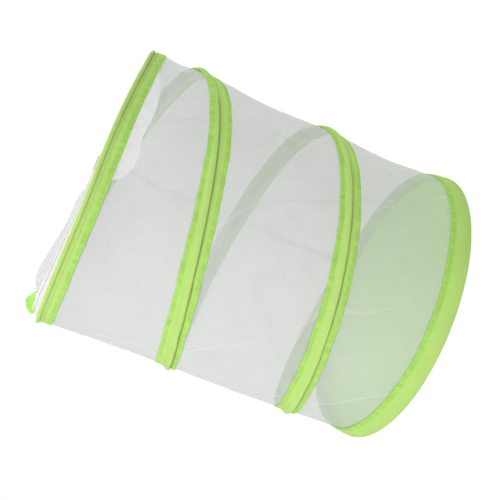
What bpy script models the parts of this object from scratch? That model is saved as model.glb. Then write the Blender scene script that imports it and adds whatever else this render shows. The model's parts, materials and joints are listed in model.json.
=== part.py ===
"""Pop-up insect cage: two sprung hoops joined by a coiled wire inside sewn tape, a mesh wall,
a fabric base, and a top with a half-moon lid that a curved zip closes.

Metres, +Z up. The origin is on the floor, on the cage's axis. The front is -Y.
"""
import math

import bmesh
import bpy
import numpy as np
from mathutils import Matrix, Vector

MM = 0.001
DEG = math.pi / 180

# Overall sizes
OVERALL_HEIGHT = 354.0 * MM
WALL_RADIUS = 149.0 * MM
WALL_THICKNESS = 0.5 * MM
SEAT_GAP = 0.3 * MM
FACETS_AROUND = 60
CUT_OVERRUN = 5.0 * MM
MERGE_DISTANCE = 0.01 * MM
SHARP_ANGLE_DEG = 35.0

# Spring wire and its metal fittings
WIRE_RADIUS = 1.0 * MM
FERRULE_WALL = 0.4 * MM
FERRULE_BORE_GAP = 0.25 * MM
FERRULE_LENGTH = 12.0 * MM
FERRULE_SIDES = 12
BASE_FERRULE_FACET = 40
TOP_FERRULE_FACET = 35
WIRE_SIDES = 8

# Coil between the hoops, right-handed, counted from the base
COIL_START_DEG = 42.0
COIL_SWEEP_DEG = 786.0
COIL_PITCH = 134.0 * MM
COIL_EASE_DEG = 30.0
COIL_SURGE_SWEEP_DEG = 200.0
COIL_LEAN = 2.0 * MM
COIL_LEAN_DEG = 270.0
COIL_STEP_DEG = 0.5

# Sewn tape
TAPE_THICKNESS = 0.6 * MM
HOOP_CHANNEL_RADIUS = 2.0 * MM
TOP_FLANGE_HEIGHT = 16.0 * MM
BASE_FLANGE_HEIGHT = 21.5 * MM
SLEEVE_WIDTH = 22.0 * MM
SLEEVE_ARCH_HEIGHT = 3.4 * MM
SLEEVE_ARCH_HALF_WIDTH = 2.1 * MM
ARCH_SEGMENTS = 4

# Lengthwise seam of the wall, on its inside
SIDE_SEAM_DEG = 79.0
SIDE_SEAM_WIDTH = 6.0 * MM
SIDE_SEAM_THICKNESS = 0.5 * MM

# Base
BASE_PANEL_THICKNESS = 0.8 * MM

# Top: fixed half panel, lid flap and zip
FABRIC_THICKNESS = 0.6 * MM
LID_HINGE_X = 8.0 * MM
LID_CROWN = 12.0 * MM
LID_CROWN_POWER = 6
LID_HEM = 5.8 * MM
HINGE_HEM = 2.0 * MM
PANEL_SAG = 30.0 * MM
PANEL_SAG_POWER = 4
PANEL_RIM_DROP = 1.5 * MM
ZIP_INSET = 10.2 * MM
ZIP_RISE = 1.5 * MM
ZIP_TAPE_WIDTH = 9.0 * MM
ZIP_SLIDER_ROOM = 0.9 * MM
ZIP_TAPE_RIM_DROP = 0.6 * MM
SHEET_RINGS = 6
SHEET_RING_POWER = 0.6
CHORD_SPLITS = 14

# Zip chain and slider
SLIDER_WEB = 0.8 * MM
SLIDER_LENGTH = 9.0 * MM
SLIDER_HALF_WIDTH = 4.2 * MM
SLIDER_PLATE = 1.0 * MM
SLIDER_FLANGE = 0.6 * MM
TEETH_WIDTH = 2.4 * MM
TEETH_HEIGHT = 1.2 * MM
STOP_LENGTH = 2.0 * MM
STOP_HEIGHT = 1.4 * MM
TAIL_HINGE_GAP = 3.4 * MM
LID_TEETH_SETBACK = 1.0 * MM
SLIDER_HINGE_GAP = 4.8 * MM
TAIL_TAPE_OVERHANG = 1.1 * MM

# Slider's crown and pull tab
CROWN_HALF_LENGTH = 3.0 * MM
CROWN_THICKNESS = 0.8 * MM
CROWN_CHAMFER = 0.6 * MM
CROWN_WIDTH = 1.6 * MM
CROWN_ROOM = 2.4 * MM
PULL_THICKNESS = 1.2 * MM
PULL_BAR = 1.4 * MM
PULL_SLOT_REACH = 4.1 * MM
PULL_RAIL = 1.3 * MM
PULL_NECK = 7.0 * MM
PULL_LENGTH = 22.0 * MM
PULL_TIP_WIDTH = 6.4 * MM
PULL_CORNER_SEGMENTS = 5

# Ribbon loop on the top hoop
LOOP_DEG = 155.0
LOOP_HALF_SPAN = 22.0 * MM
LOOP_HEIGHT = 24.0 * MM
LOOP_WIDTH = 8.0 * MM
LOOP_THICKNESS = 0.5 * MM
LOOP_AXIS_RISE = 0.3 * MM
LOOP_STEPS = 28

# Radii and heights that follow from the sizes above
WALL_OUTER = WALL_RADIUS + WALL_THICKNESS / 2
WALL_INNER = WALL_RADIUS - WALL_THICKNESS / 2
WIRE_PATH_RADIUS = WALL_OUTER + SEAT_GAP + WIRE_RADIUS
HOOP_PATH_RADIUS = WALL_INNER - SEAT_GAP + HOOP_CHANNEL_RADIUS
HOOP_ROLL_RADIUS = HOOP_CHANNEL_RADIUS + TAPE_THICKNESS
BASE_HOOP_Z = HOOP_ROLL_RADIUS
TOP_HOOP_Z = OVERALL_HEIGHT - HOOP_ROLL_RADIUS
FERRULE_BORE_RADIUS = WIRE_RADIUS + FERRULE_BORE_GAP
FERRULE_RADIUS = FERRULE_BORE_RADIUS + FERRULE_WALL
COIL_END_OFFSET = WIRE_RADIUS + SEAT_GAP + FERRULE_RADIUS
COIL_BASE_Z = BASE_HOOP_Z + COIL_END_OFFSET
COIL_TOP_Z = TOP_HOOP_Z - COIL_END_OFFSET
WALL_EDGE_INSET = COIL_END_OFFSET + FERRULE_RADIUS + SEAT_GAP
WALL_LOW_Z = BASE_HOOP_Z + WALL_EDGE_INSET
WALL_HIGH_Z = TOP_HOOP_Z - WALL_EDGE_INSET
BASE_FLANGE_Z = BASE_FLANGE_HEIGHT
TOP_FLANGE_Z = OVERALL_HEIGHT - TOP_FLANGE_HEIGHT
FACET_ANGLE = 2 * math.pi / FACETS_AROUND

ZIP_RADIUS = WALL_RADIUS - ZIP_INSET
ZIP_Z = OVERALL_HEIGHT + ZIP_RISE
FABRIC_Z = ZIP_Z - TAPE_THICKNESS / 2 - SEAT_GAP - FABRIC_THICKNESS / 2
ROW_EDGE = SLIDER_WEB / 2 + SEAT_GAP
LID_RADIUS = ZIP_RADIUS - SLIDER_HALF_WIDTH - 2 * SEAT_GAP
TEETH_LOW = TAPE_THICKNESS / 2 + SEAT_GAP
TEETH_HIGH = TEETH_LOW + TEETH_HEIGHT
SLIDER_TOP = TEETH_HIGH + SEAT_GAP + SLIDER_PLATE
PULL_AXIS_UP = SLIDER_TOP + CROWN_ROOM / 2
SLIDER_PARK = SLIDER_HINGE_GAP + SLIDER_LENGTH / 2
TAIL_TEETH_END = SLIDER_PARK + SLIDER_LENGTH / 2 + 2 * SEAT_GAP
TAIL_STOP_END = TAIL_TEETH_END + SEAT_GAP + STOP_LENGTH
TAIL_TAPE_END = TAIL_STOP_END + TAIL_TAPE_OVERHANG


def new_collection(name):
    """Make a collection in the scene."""
    collection = bpy.data.collections.new(name)
    bpy.context.scene.collection.children.link(collection)
    return collection


def new_material(name, colour, roughness, metallic=0.0):
    """A Principled material of one colour."""
    material = bpy.data.materials.new(name)
    material.use_nodes = True
    shader = material.node_tree.nodes["Principled BSDF"]
    shader.inputs["Base Color"].default_value = (*colour, 1.0)
    shader.inputs["Roughness"].default_value = roughness
    shader.inputs["Metallic"].default_value = metallic
    return material


def place(obj, collection, material, parent=None):
    """Put an object in its collection with its material, and under its joint's empty."""
    for old in list(obj.users_collection):
        old.objects.unlink(obj)
    collection.objects.link(obj)
    if material is not None and obj.data is not None:
        obj.data.materials.clear()
        obj.data.materials.append(material)
    if parent is not None:
        bpy.context.view_layer.update()
        obj.parent = parent
        obj.matrix_parent_inverse = parent.matrix_world.inverted()
    return obj


def mesh_object(name, points, faces, smooth=True):
    """An object from points and faces, its faces turned outwards."""
    mesh = bpy.data.meshes.new(name)
    mesh.from_pydata([tuple(p) for p in points], [], faces)
    shell = bmesh.new()
    shell.from_mesh(mesh)
    bmesh.ops.recalc_face_normals(shell, faces=shell.faces)
    shell.to_mesh(mesh)
    shell.free()
    if smooth:
        mesh.shade_smooth()
        mesh.set_sharp_from_angle(angle=SHARP_ANGLE_DEG * DEG)
    return bpy.data.objects.new(name, mesh)


def loft(name, rings, closed=False):
    """Join equal rings of points into one skin: a closed loop of rings, or a bar with end caps."""
    rings = np.asarray(rings)
    count, around = rings.shape[:2]
    faces = []
    for i in range(count if closed else count - 1):
        j = (i + 1) % count
        for k in range(around):
            m = (k + 1) % around
            faces.append((i * around + k, i * around + m, j * around + m, j * around + k))
    if not closed:
        faces.append(tuple(range(around)))
        faces.append(tuple((count - 1) * around + k for k in range(around)))
    return mesh_object(name, rings.reshape(-1, 3), faces)


def turned(name, profile):
    """A closed profile of (radius, height) pairs turned round the cage's axis."""
    mesh = bpy.data.meshes.new(name)
    points = [(radius, 0.0, height) for radius, height in profile]
    edges = [(k, (k + 1) % len(points)) for k in range(len(points))]
    mesh.from_pydata(points, edges, [])
    obj = bpy.data.objects.new(name, mesh)
    screw = obj.modifiers.new("Turn", "SCREW")
    screw.axis = "Z"
    screw.angle = 2 * math.pi
    screw.steps = FACETS_AROUND
    screw.render_steps = FACETS_AROUND
    screw.use_merge_vertices = True
    screw.merge_threshold = MERGE_DISTANCE
    screw.use_smooth_shade = True
    return obj


def solidify(obj, thickness):
    """Give an open sheet its thickness, half on each side."""
    wall = obj.modifiers.new("Thickness", "SOLIDIFY")
    wall.thickness = thickness
    wall.offset = 0.0
    return obj


def grid_angles(start, end):
    """Angles from start to end that fall on the facets of the hoops, with both ends kept."""
    first = math.floor(start / FACET_ANGLE) + 1
    last = math.ceil(end / FACET_ANGLE) - 1
    inner = [k * FACET_ANGLE for k in range(first, last + 1)]
    margin = FACET_ANGLE / 10
    inner = [a for a in inner if a - start > margin and end - a > margin]
    return [start] + inner + [end]


def polar(radius, angle, height):
    """A point at a radius and angle round the cage's axis."""
    return (radius * math.cos(angle), radius * math.sin(angle), height)


def coil_height(turn_deg):
    """Height of the coil's wire, for degrees turned since its start at the base.

    It runs level into each hoop, climbs at an even pitch between them, and surges near each end
    by as much as the even pitch leaves over. Its turns lean a little.
    """
    turn = np.arange(0, COIL_SWEEP_DEG + COIL_STEP_DEG / 2, COIL_STEP_DEG)
    from_end = np.minimum(turn, COIL_SWEEP_DEG - turn)
    ease = np.clip(from_end / COIL_EASE_DEG, 0, 1)
    ease = ease * ease * (3 - 2 * ease)
    surge = ease * np.sin(math.pi * np.clip(from_end / COIL_SURGE_SWEEP_DEG, 0, 1)) ** 2
    even = ease * COIL_PITCH / 360
    left_over = COIL_TOP_Z - COIL_BASE_Z - even.sum() * COIL_STEP_DEG
    slope = even + surge * left_over / (surge.sum() * COIL_STEP_DEG)
    climb = np.concatenate([[0], np.cumsum((slope[1:] + slope[:-1]) / 2) * COIL_STEP_DEG])
    lean = COIL_LEAN * np.cos((COIL_START_DEG + turn - COIL_LEAN_DEG) * DEG)
    lean = lean * np.clip(from_end / COIL_SURGE_SWEEP_DEG, 0, 1) ** 2
    return np.interp(turn_deg, turn, COIL_BASE_Z + climb + lean)


def coil_points():
    """The wire's centre line, with a point at each facet of the wall."""
    step = FACET_ANGLE / DEG
    turn = np.arange(0, COIL_SWEEP_DEG + step / 2, step)
    angle = (COIL_START_DEG + turn) * DEG
    height = coil_height(turn)
    x = WIRE_PATH_RADIUS * np.cos(angle)
    y = WIRE_PATH_RADIUS * np.sin(angle)
    return np.stack([x, y, height], axis=1), angle, height


def least_coil_gap(points):
    """Clear space between one turn of the wire and the next."""
    per_turn = FACETS_AROUND
    apart = [np.linalg.norm(points[k + per_turn // 2:] - points[k], axis=1).min()
             for k in range(len(points) - per_turn // 2)]
    return min(apart) - 2 * WIRE_RADIUS


def hoop_profile(crest_z, leg_end_z, up):
    """Tape folded over a hoop: a hairpin with a round crest and two legs."""
    angles = np.linspace(math.pi, 0, ARCH_SEGMENTS + 1)
    outer = [(HOOP_PATH_RADIUS + HOOP_ROLL_RADIUS * math.cos(a),
              crest_z + up * HOOP_ROLL_RADIUS * math.sin(a)) for a in angles]
    inner = [(HOOP_PATH_RADIUS + HOOP_CHANNEL_RADIUS * math.cos(a),
              crest_z + up * HOOP_CHANNEL_RADIUS * math.sin(a)) for a in angles[::-1]]
    profile = [(outer[0][0], leg_end_z)] + outer + [(outer[-1][0], leg_end_z)]
    profile += [(inner[0][0], leg_end_z)] + inner + [(inner[-1][0], leg_end_z)]
    return profile if up > 0 else profile[::-1]


def tube_between(name, start, end, bore, radius, closed_end):
    """A short tube from start towards end, open at its start, and closed at its end if asked."""
    length = (end - start).length
    turn = np.arange(FERRULE_SIDES) * 2 * math.pi / FERRULE_SIDES
    unit = np.stack([np.cos(turn), np.sin(turn)], axis=1)

    def ring(size, along):
        return np.column_stack([unit * size, np.full(FERRULE_SIDES, along)])

    if closed_end:
        floor = length - FERRULE_WALL
        rings = [ring(bore, floor), ring(bore, 0.0), ring(radius, 0.0), ring(radius, length)]
    else:
        rings = [ring(bore, 0.0), ring(radius, 0.0), ring(radius, length), ring(bore, length)]
    obj = loft(name, rings, closed=not closed_end)
    obj.rotation_mode = "QUATERNION"
    obj.rotation_quaternion = (end - start).to_track_quat("Z", "Y")
    obj.location = start
    return obj


def ring_wire(name, height, collection, material, parent):
    """One hoop's spring wire."""
    bpy.ops.mesh.primitive_torus_add(
        major_segments=FACETS_AROUND, minor_segments=WIRE_SIDES,
        major_radius=WIRE_PATH_RADIUS, minor_radius=WIRE_RADIUS, location=(0, 0, height))
    obj = bpy.context.object
    obj.name = name
    obj.data.name = name
    obj.data.shade_smooth()
    return place(obj, collection, material, parent)


def ring_ferrule(name, facet, height):
    """The crimped tube that joins a hoop's two wire ends, along one facet of the hoop."""
    a = Vector(polar(WIRE_PATH_RADIUS, facet * FACET_ANGLE, height))
    b = Vector(polar(WIRE_PATH_RADIUS, (facet + 1) * FACET_ANGLE, height))
    middle = (a + b) / 2
    half = (b - a).normalized() * FERRULE_LENGTH / 2
    return tube_between(name, middle - half, middle + half, FERRULE_BORE_RADIUS, FERRULE_RADIUS, False)


def coil_wire(points):
    """The coil as one unbroken tube along its centre line."""
    curve = bpy.data.curves.new("helix_wire", "CURVE")
    curve.dimensions = "3D"
    curve.bevel_depth = WIRE_RADIUS
    curve.bevel_resolution = 2
    curve.use_fill_caps = True
    spline = curve.splines.new("POLY")
    spline.points.add(len(points) - 1)
    for point, place_on_coil in zip(spline.points, points):
        point.co = (*place_on_coil, 1.0)
    spline.use_smooth = True
    return bpy.data.objects.new("helix_wire", curve)


def coil_cap(name, points, at_base):
    """A cap on one end of the coil's wire, along its last straight facet."""
    end, inner = (points[0], points[1]) if at_base else (points[-1], points[-2])
    end, inner = Vector(end), Vector(inner)
    outward = (end - inner).normalized()
    tip = end + outward * (FERRULE_WALL + SEAT_GAP)
    mouth = tip - outward * FERRULE_LENGTH
    return tube_between(name, mouth, tip, FERRULE_BORE_RADIUS, FERRULE_RADIUS, True)


def coil_sleeve(angle, height, cutters):
    """Tape sewn over the coil: an arch over the wire and a flange on each side, cut level at the hoops."""
    seat = WALL_OUTER + SEAT_GAP
    half = SLEEVE_WIDTH / 2
    around = np.linspace(math.pi / 2, -math.pi / 2, ARCH_SEGMENTS + 1)
    arch = np.stack([np.cos(around), np.sin(around)], axis=1)
    inside = arch * [SLEEVE_ARCH_HEIGHT, SLEEVE_ARCH_HALF_WIDTH] + [seat, 0]
    outside = arch * [SLEEVE_ARCH_HEIGHT, SLEEVE_ARCH_HALF_WIDTH + TAPE_THICKNESS]
    outside = outside + [seat + TAPE_THICKNESS, 0]
    section = np.vstack([
        [[seat, half]], inside, [[seat, -half]],
        [[seat + TAPE_THICKNESS, -half]], outside[::-1], [[seat + TAPE_THICKNESS, half]]])
    x = section[None, :, 0] * np.cos(angle)[:, None]
    y = section[None, :, 0] * np.sin(angle)[:, None]
    z = section[None, :, 1] + height[:, None]
    sleeve = loft("helix_sleeve", np.stack([x, y, z], axis=2))
    low = BASE_FLANGE_Z + SEAT_GAP
    high = TOP_FLANGE_Z - SEAT_GAP
    bpy.ops.mesh.primitive_cylinder_add(
        vertices=FACETS_AROUND, radius=WALL_RADIUS + SLEEVE_ARCH_HEIGHT + CUT_OVERRUN,
        depth=high - low, location=(0, 0, (high + low) / 2))
    band = bpy.context.object
    band.name = "sleeve_band_cutter"
    as_cutter(band, cutters)
    cut = sleeve.modifiers.new("Level ends", "BOOLEAN")
    cut.operation = "INTERSECT"
    cut.object = band
    return sleeve


def as_cutter(obj, cutters):
    """Keep an object that only cuts or joins out of the model."""
    place(obj, cutters, None)
    obj.hide_render = True
    obj.display_type = "WIRE"
    return obj


def hinge_angle(radius, offset):
    """Angle at which a circle of this radius meets a line beside the lid's hinge."""
    return math.acos((LID_HINGE_X + offset) / radius)


def tail_angle(distance):
    """Angle on the zip at a distance along it past the lid's hinge, on the fixed side."""
    return hinge_angle(ZIP_RADIUS, 0.0) - distance / ZIP_RADIUS


def strip(name, columns, ends, thickness):
    """A flat or sloping band round the axis: columns are (radius, height), ends give each its angles."""
    count = len(grid_angles(*ends(columns[0][0])))
    rows = []
    for radius, height in columns:
        start, end = ends(radius)
        angles = grid_angles(start, end)
        if len(angles) != count:
            angles = np.interp(np.linspace(0, 1, count), np.linspace(0, 1, len(angles)), angles)
        rows.append([polar(radius, a, height) for a in angles])
    points = [p for row in rows for p in row]
    faces = []
    for i in range(len(rows) - 1):
        for k in range(count - 1):
            faces.append((i * count + k, i * count + k + 1, (i + 1) * count + k + 1, (i + 1) * count + k))
    return solidify(mesh_object(name, points, faces), thickness)


def fan_sheet(name, centre, outline, hem, edge_height, lift, power, thickness):
    """A slack sheet inside an outline, level out to its hem.

    Inside the hem its middle rises by lift times 1 - share**power.
    """
    outline = np.asarray(outline)
    hem = np.asarray(hem)
    shares = np.linspace(0, 1, SHEET_RINGS + 1)[1:] ** SHEET_RING_POWER
    heights = np.array([edge_height(x, y) for x, y in outline])
    middle = heights.mean()
    points = [(centre[0], centre[1], middle + lift)]
    for share in shares:
        xy = np.asarray(centre) + share * (hem - centre)
        z = middle + (heights - middle) * share**2 + lift * (1 - share**power)
        points += list(np.column_stack([xy, z]))
    points += list(np.column_stack([outline, heights]))
    count = len(outline)
    faces = [(0, 1 + k, 1 + (k + 1) % count) for k in range(count)]
    for i in range(SHEET_RINGS):
        for k in range(count):
            m = (k + 1) % count
            faces.append((1 + i * count + k, 1 + (i + 1) * count + k,
                          1 + (i + 1) * count + m, 1 + i * count + m))
    return solidify(mesh_object(name, points, faces), thickness)


def chord_points(x, half):
    """Points down a straight edge beside the hinge, without its two ends."""
    return [(x, half * (1 - 2 * k / CHORD_SPLITS)) for k in range(1, CHORD_SPLITS)]


def lid_outline():
    """The lid's edge: an arc inside the zip, and a straight edge along the hinge."""
    edge_x = -SEAT_GAP / 2
    start = hinge_angle(LID_RADIUS, edge_x)
    arc = [polar(LID_RADIUS, a, 0)[:2] for a in grid_angles(start, 2 * math.pi - start)]
    back = chord_points(LID_HINGE_X + edge_x, -LID_RADIUS * math.sin(start))
    return arc + back


def lid_hem(outline):
    """The line inside the lid's edge where its level hem ends."""
    share = (LID_RADIUS - LID_HEM) / LID_RADIUS
    limit = LID_HINGE_X - HINGE_HEM
    return [(min(x * share, limit), y * share) for x, y in outline]


def panel_hem(outline):
    """The line inside the fixed panel's edge where its level hem ends."""
    share = (LID_RADIUS - HINGE_HEM) / LID_RADIUS
    limit = LID_HINGE_X + HINGE_HEM
    return [(max(x * share, limit), y * share) for x, y in outline]


def panel_rim_radius():
    """Radius of the fixed panel's edge, seated beside the top hoop's roll."""
    height = OVERALL_HEIGHT - PANEL_RIM_DROP + FABRIC_THICKNESS / 2 - TOP_HOOP_Z
    return HOOP_PATH_RADIUS - math.sqrt((HOOP_ROLL_RADIUS + SEAT_GAP) ** 2 - height**2)


def panel_outline():
    """The fixed panel's edge: the hoop's arc, a step in beside each zip tail, and the hinge."""
    notch = tail_angle(TAIL_TAPE_END + SEAT_GAP)
    edge_x = SEAT_GAP / 2
    corner = hinge_angle(LID_RADIUS, edge_x)
    rim = panel_rim_radius()
    arc = [polar(rim, a, 0)[:2] for a in grid_angles(-notch, notch)]
    upper = [polar(LID_RADIUS, a, 0)[:2] for a in grid_angles(notch, corner)]
    lower = [(x, -y) for x, y in upper[::-1]]
    hinge = chord_points(LID_HINGE_X + edge_x, LID_RADIUS * math.sin(corner))
    return arc + upper + hinge + lower


def panel_edge_height(x, y):
    """The fixed panel's edge drops from the lid's level to the hoop's."""
    rim = panel_rim_radius()
    share = np.clip((math.hypot(x, y) - LID_RADIUS) / (rim - LID_RADIUS), 0, 1)
    return FABRIC_Z + share * (OVERALL_HEIGHT - PANEL_RIM_DROP - FABRIC_Z)


def zip_rim_tape():
    """The zip's outer tape: level beside the chain, then down to the hoop."""
    flat = ZIP_RADIUS + SLIDER_HALF_WIDTH + ZIP_SLIDER_ROOM
    end_z = OVERALL_HEIGHT - ZIP_TAPE_RIM_DROP
    reach = HOOP_ROLL_RADIUS + SEAT_GAP
    low_corner = end_z - TAPE_THICKNESS / 2 - TOP_HOOP_Z
    rim = HOOP_PATH_RADIUS - math.sqrt(reach**2 - low_corner**2)
    columns = [(ZIP_RADIUS + ROW_EDGE, ZIP_Z), (flat, ZIP_Z), (rim, end_z)]
    start = tail_angle(TAIL_TAPE_END)
    return strip("zip_tape_rim", columns, lambda radius: (start, 2 * math.pi - start), TAPE_THICKNESS)


def zip_flap_tape():
    """The zip's inner tape, sewn to the lid's edge and ended at the hinge."""
    outer = ZIP_RADIUS - ROW_EDGE
    columns = [(outer - ZIP_TAPE_WIDTH, ZIP_Z), (outer, ZIP_Z)]

    def ends(radius):
        start = hinge_angle(radius, -SEAT_GAP)
        return start, 2 * math.pi - start

    return strip("zip_tape_flap", columns, ends, TAPE_THICKNESS)


def teeth_section(near, far):
    """A zip row's section: a low bead with its shoulders taken off."""
    shoulder = TEETH_HEIGHT / 3
    side = 1 if far > near else -1
    return [(near, TEETH_LOW), (near, TEETH_HIGH - shoulder), (near + side * shoulder, TEETH_HIGH),
            (far - side * shoulder, TEETH_HIGH), (far, TEETH_HIGH - shoulder), (far, TEETH_LOW)]


def arc_bar(name, section, start, end):
    """A section of (radius from the zip's line, height from its tape) carried round an arc."""
    rings = [[polar(ZIP_RADIUS + offset, a, ZIP_Z + up) for offset, up in section]
             for a in grid_angles(start, end)]
    return loft(name, rings)


def zip_tail(name, sign):
    """The inner row's last stretch, past the hinge: tape and teeth as one sewn piece."""
    low, high = -TAPE_THICKNESS / 2, TAPE_THICKNESS / 2
    edge = -ROW_EDGE
    inner = edge - ZIP_TAPE_WIDTH
    far = edge - TEETH_WIDTH
    section = [(inner, low), (edge, low), (edge, TEETH_HIGH), (far, TEETH_HIGH), (far, high), (inner, high)]
    start = tail_angle(TAIL_TEETH_END)
    end = tail_angle(TAIL_HINGE_GAP)
    angles = (start, end) if sign > 0 else (-end, -start)
    return arc_bar(name, section, *angles)


def zip_stop(name, sign):
    """The metal stop clamped across both tapes at one end of the zip."""
    start = tail_angle(TAIL_STOP_END)
    end = tail_angle(TAIL_TEETH_END + SEAT_GAP)
    angles = (start, end) if sign > 0 else (-end, -start)
    return arc_bar(name, stop_section(), *angles)


def stop_section():
    """A stop's section: a bridge over both tapes, with a web down between them."""
    low = TAPE_THICKNESS / 2 + SEAT_GAP
    half = ROW_EDGE + TEETH_WIDTH
    web = SLIDER_WEB / 2
    return [(-half, low), (-web, low), (-web, -low), (web, -low), (web, low), (half, low),
            (half, low + STOP_HEIGHT), (-half, low + STOP_HEIGHT)]


def outline_plate(name, loops, thickness):
    """A flat plate from outlines in its own plane, the second one a hole, as a closed mesh."""
    curve = bpy.data.curves.new(name, "CURVE")
    curve.dimensions = "2D"
    curve.fill_mode = "BOTH"
    curve.extrude = thickness / 2
    for loop in loops:
        spline = curve.splines.new("POLY")
        spline.points.add(len(loop) - 1)
        spline.use_cyclic_u = True
        for point, (x, y) in zip(spline.points, loop):
            point.co = (x, y, 0, 1)
    guide = bpy.data.objects.new(name, curve)
    bpy.context.scene.collection.objects.link(guide)
    bpy.context.view_layer.update()
    evaluated = guide.evaluated_get(bpy.context.evaluated_depsgraph_get())
    mesh = bpy.data.meshes.new_from_object(evaluated)
    shell = bmesh.new()
    shell.from_mesh(mesh)
    bmesh.ops.remove_doubles(shell, verts=shell.verts, dist=MERGE_DISTANCE)
    bmesh.ops.recalc_face_normals(shell, faces=shell.faces)
    shell.to_mesh(mesh)
    shell.free()
    bpy.data.objects.remove(guide)
    return bpy.data.objects.new(name, mesh)


def rounded(x0, x1, y0, y1, radius):
    """A rectangle's outline with round corners."""
    points = []
    corners = [(x1 - radius, y1 - radius), (x0 + radius, y1 - radius),
               (x0 + radius, y0 + radius), (x1 - radius, y0 + radius)]
    for quarter, (cx, cy) in enumerate(corners):
        for k in range(PULL_CORNER_SEGMENTS + 1):
            a = (quarter + k / PULL_CORNER_SEGMENTS) * math.pi / 2
            points.append((cx + radius * math.cos(a), cy + radius * math.sin(a)))
    return points


def zip_slider(cutters):
    """Slider: two plates joined by a web between the rows, side flanges, and a crown for the tab.

    In its own frame X is across the zip, outwards, and Y is along it, towards open.
    """
    side = SLIDER_HALF_WIDTH
    web = SLIDER_WEB / 2
    rail = side - SLIDER_FLANGE
    top_low = TEETH_HIGH + SEAT_GAP
    rail_low = TAPE_THICKNESS / 2 + SEAT_GAP
    under = -rail_low
    right = [(side, under - SLIDER_PLATE), (side, under), (web, under), (web, top_low),
             (rail, top_low), (rail, rail_low), (side, rail_low), (side, SLIDER_TOP)]
    left = [(-x, z) for x, z in right[::-1]]
    body = outline_plate("zip_slider", [right + left], SLIDER_LENGTH)
    # The section stands in the slider's XZ plane
    body.data.transform(Matrix.Rotation(math.pi / 2, 4, "X"))
    crown_top = CROWN_ROOM + CROWN_THICKNESS
    shoulder = crown_top - CROWN_CHAMFER
    sunk = -SLIDER_PLATE / 2
    reach = CROWN_HALF_LENGTH - CROWN_THICKNESS
    inner_shoulder = CROWN_ROOM - CROWN_CHAMFER
    half = CROWN_HALF_LENGTH
    bridge = [
        (half, sunk), (half, shoulder), (half - CROWN_CHAMFER, crown_top),
        (CROWN_CHAMFER - half, crown_top), (-half, shoulder), (-half, sunk),
        (-reach, sunk), (-reach, inner_shoulder), (CROWN_CHAMFER - reach, CROWN_ROOM),
        (reach - CROWN_CHAMFER, CROWN_ROOM), (reach, inner_shoulder), (reach, sunk)]
    crown = outline_plate("slider_crown", [bridge], CROWN_WIDTH)
    # The crown's outline stands in the slider's YZ plane
    stand = Matrix(((0, 0, 1, 0), (1, 0, 0, 0), (0, 1, 0, SLIDER_TOP), (0, 0, 0, 1)))
    crown.data.transform(stand)
    seat_angle = tail_angle(SLIDER_PARK)
    seat = Matrix.Translation(polar(ZIP_RADIUS, seat_angle, ZIP_Z)) @ Matrix.Rotation(seat_angle, 4, "Z")
    body.matrix_world = seat
    as_cutter(crown, cutters)
    crown.matrix_world = seat
    union = body.modifiers.new("Crown", "BOOLEAN")
    union.operation = "UNION"
    union.object = crown
    return body, seat


def zip_pull(seat):
    """Pull tab: a flat tongue with a slot whose end bar hangs in the slider's crown."""
    bar = PULL_BAR / 2
    slot_half = CROWN_WIDTH / 2 + SEAT_GAP
    neck = slot_half + PULL_RAIL
    tip = PULL_TIP_WIDTH / 2
    end = bar - PULL_LENGTH
    # The outline: a straight neck round the slot, then a wider tongue with a round end
    shoulder = -PULL_NECK
    tongue = [(tip * math.cos(a), end + tip + tip * math.sin(a))
              for a in np.linspace(0, -math.pi, 2 * PULL_CORNER_SEGMENTS + 1)]
    outline = [(neck, bar), (neck, shoulder), (tip, shoulder - (tip - neck))] + tongue
    outline += [(-tip, shoulder - (tip - neck)), (-neck, shoulder), (-neck, bar)]
    slot = rounded(-slot_half, slot_half, -PULL_SLOT_REACH, -bar, SEAT_GAP)
    tab = outline_plate("zip_pull", [outline, slot], PULL_THICKNESS)
    tab.matrix_world = seat @ Matrix.Translation((0, 0, PULL_AXIS_UP))
    return tab


def loop_frame():
    """Place of the ribbon loop: the middle of the line through its two feet, and its directions."""
    half_angle = math.asin(LOOP_HALF_SPAN / HOOP_PATH_RADIUS)
    outwards = Vector((math.cos(LOOP_DEG * DEG), math.sin(LOOP_DEG * DEG), 0))
    along = Vector((-outwards.y, outwards.x, 0))
    origin = outwards * HOOP_PATH_RADIUS * math.cos(half_angle)
    origin.z = OVERALL_HEIGHT + SEAT_GAP + LOOP_AXIS_RISE
    return origin, outwards, along


def hang_loop():
    """Ribbon loop: half an ellipse from foot to foot, making half a twist on its way."""
    origin, outwards, along = loop_frame()
    turn = np.linspace(0, math.pi, LOOP_STEPS + 1)
    across = -LOOP_HALF_SPAN * np.cos(turn)
    foot = -LOOP_AXIS_RISE
    high = foot + (LOOP_HEIGHT - foot) * np.sin(turn)
    heading = np.stack([LOOP_HALF_SPAN * np.sin(turn), (LOOP_HEIGHT - foot) * np.cos(turn)], axis=1)
    heading /= np.linalg.norm(heading, axis=1)[:, None]
    rings = []
    for k, twist in enumerate(turn):
        ahead = along * heading[k, 0] + Vector((0, 0, heading[k, 1]))
        normal = along * heading[k, 1] - Vector((0, 0, heading[k, 0]))
        wide = normal * math.cos(twist) + outwards * math.sin(twist)
        thin = ahead.cross(wide)
        centre = origin + along * across[k] + Vector((0, 0, high[k]))
        w = wide * LOOP_WIDTH / 2
        t = thin * LOOP_THICKNESS / 2
        rings.append([tuple(centre + w + t), tuple(centre - w + t),
                      tuple(centre - w - t), tuple(centre + w - t)])
    return loft("hang_loop", rings), origin


def empty(name, location, parts, parent=None):
    """A joint's empty, at a point of its axis."""
    obj = bpy.data.objects.new(name, None)
    obj.location = location
    obj.empty_display_size = CUT_OVERRUN
    return place(obj, parts, None, parent)


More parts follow.
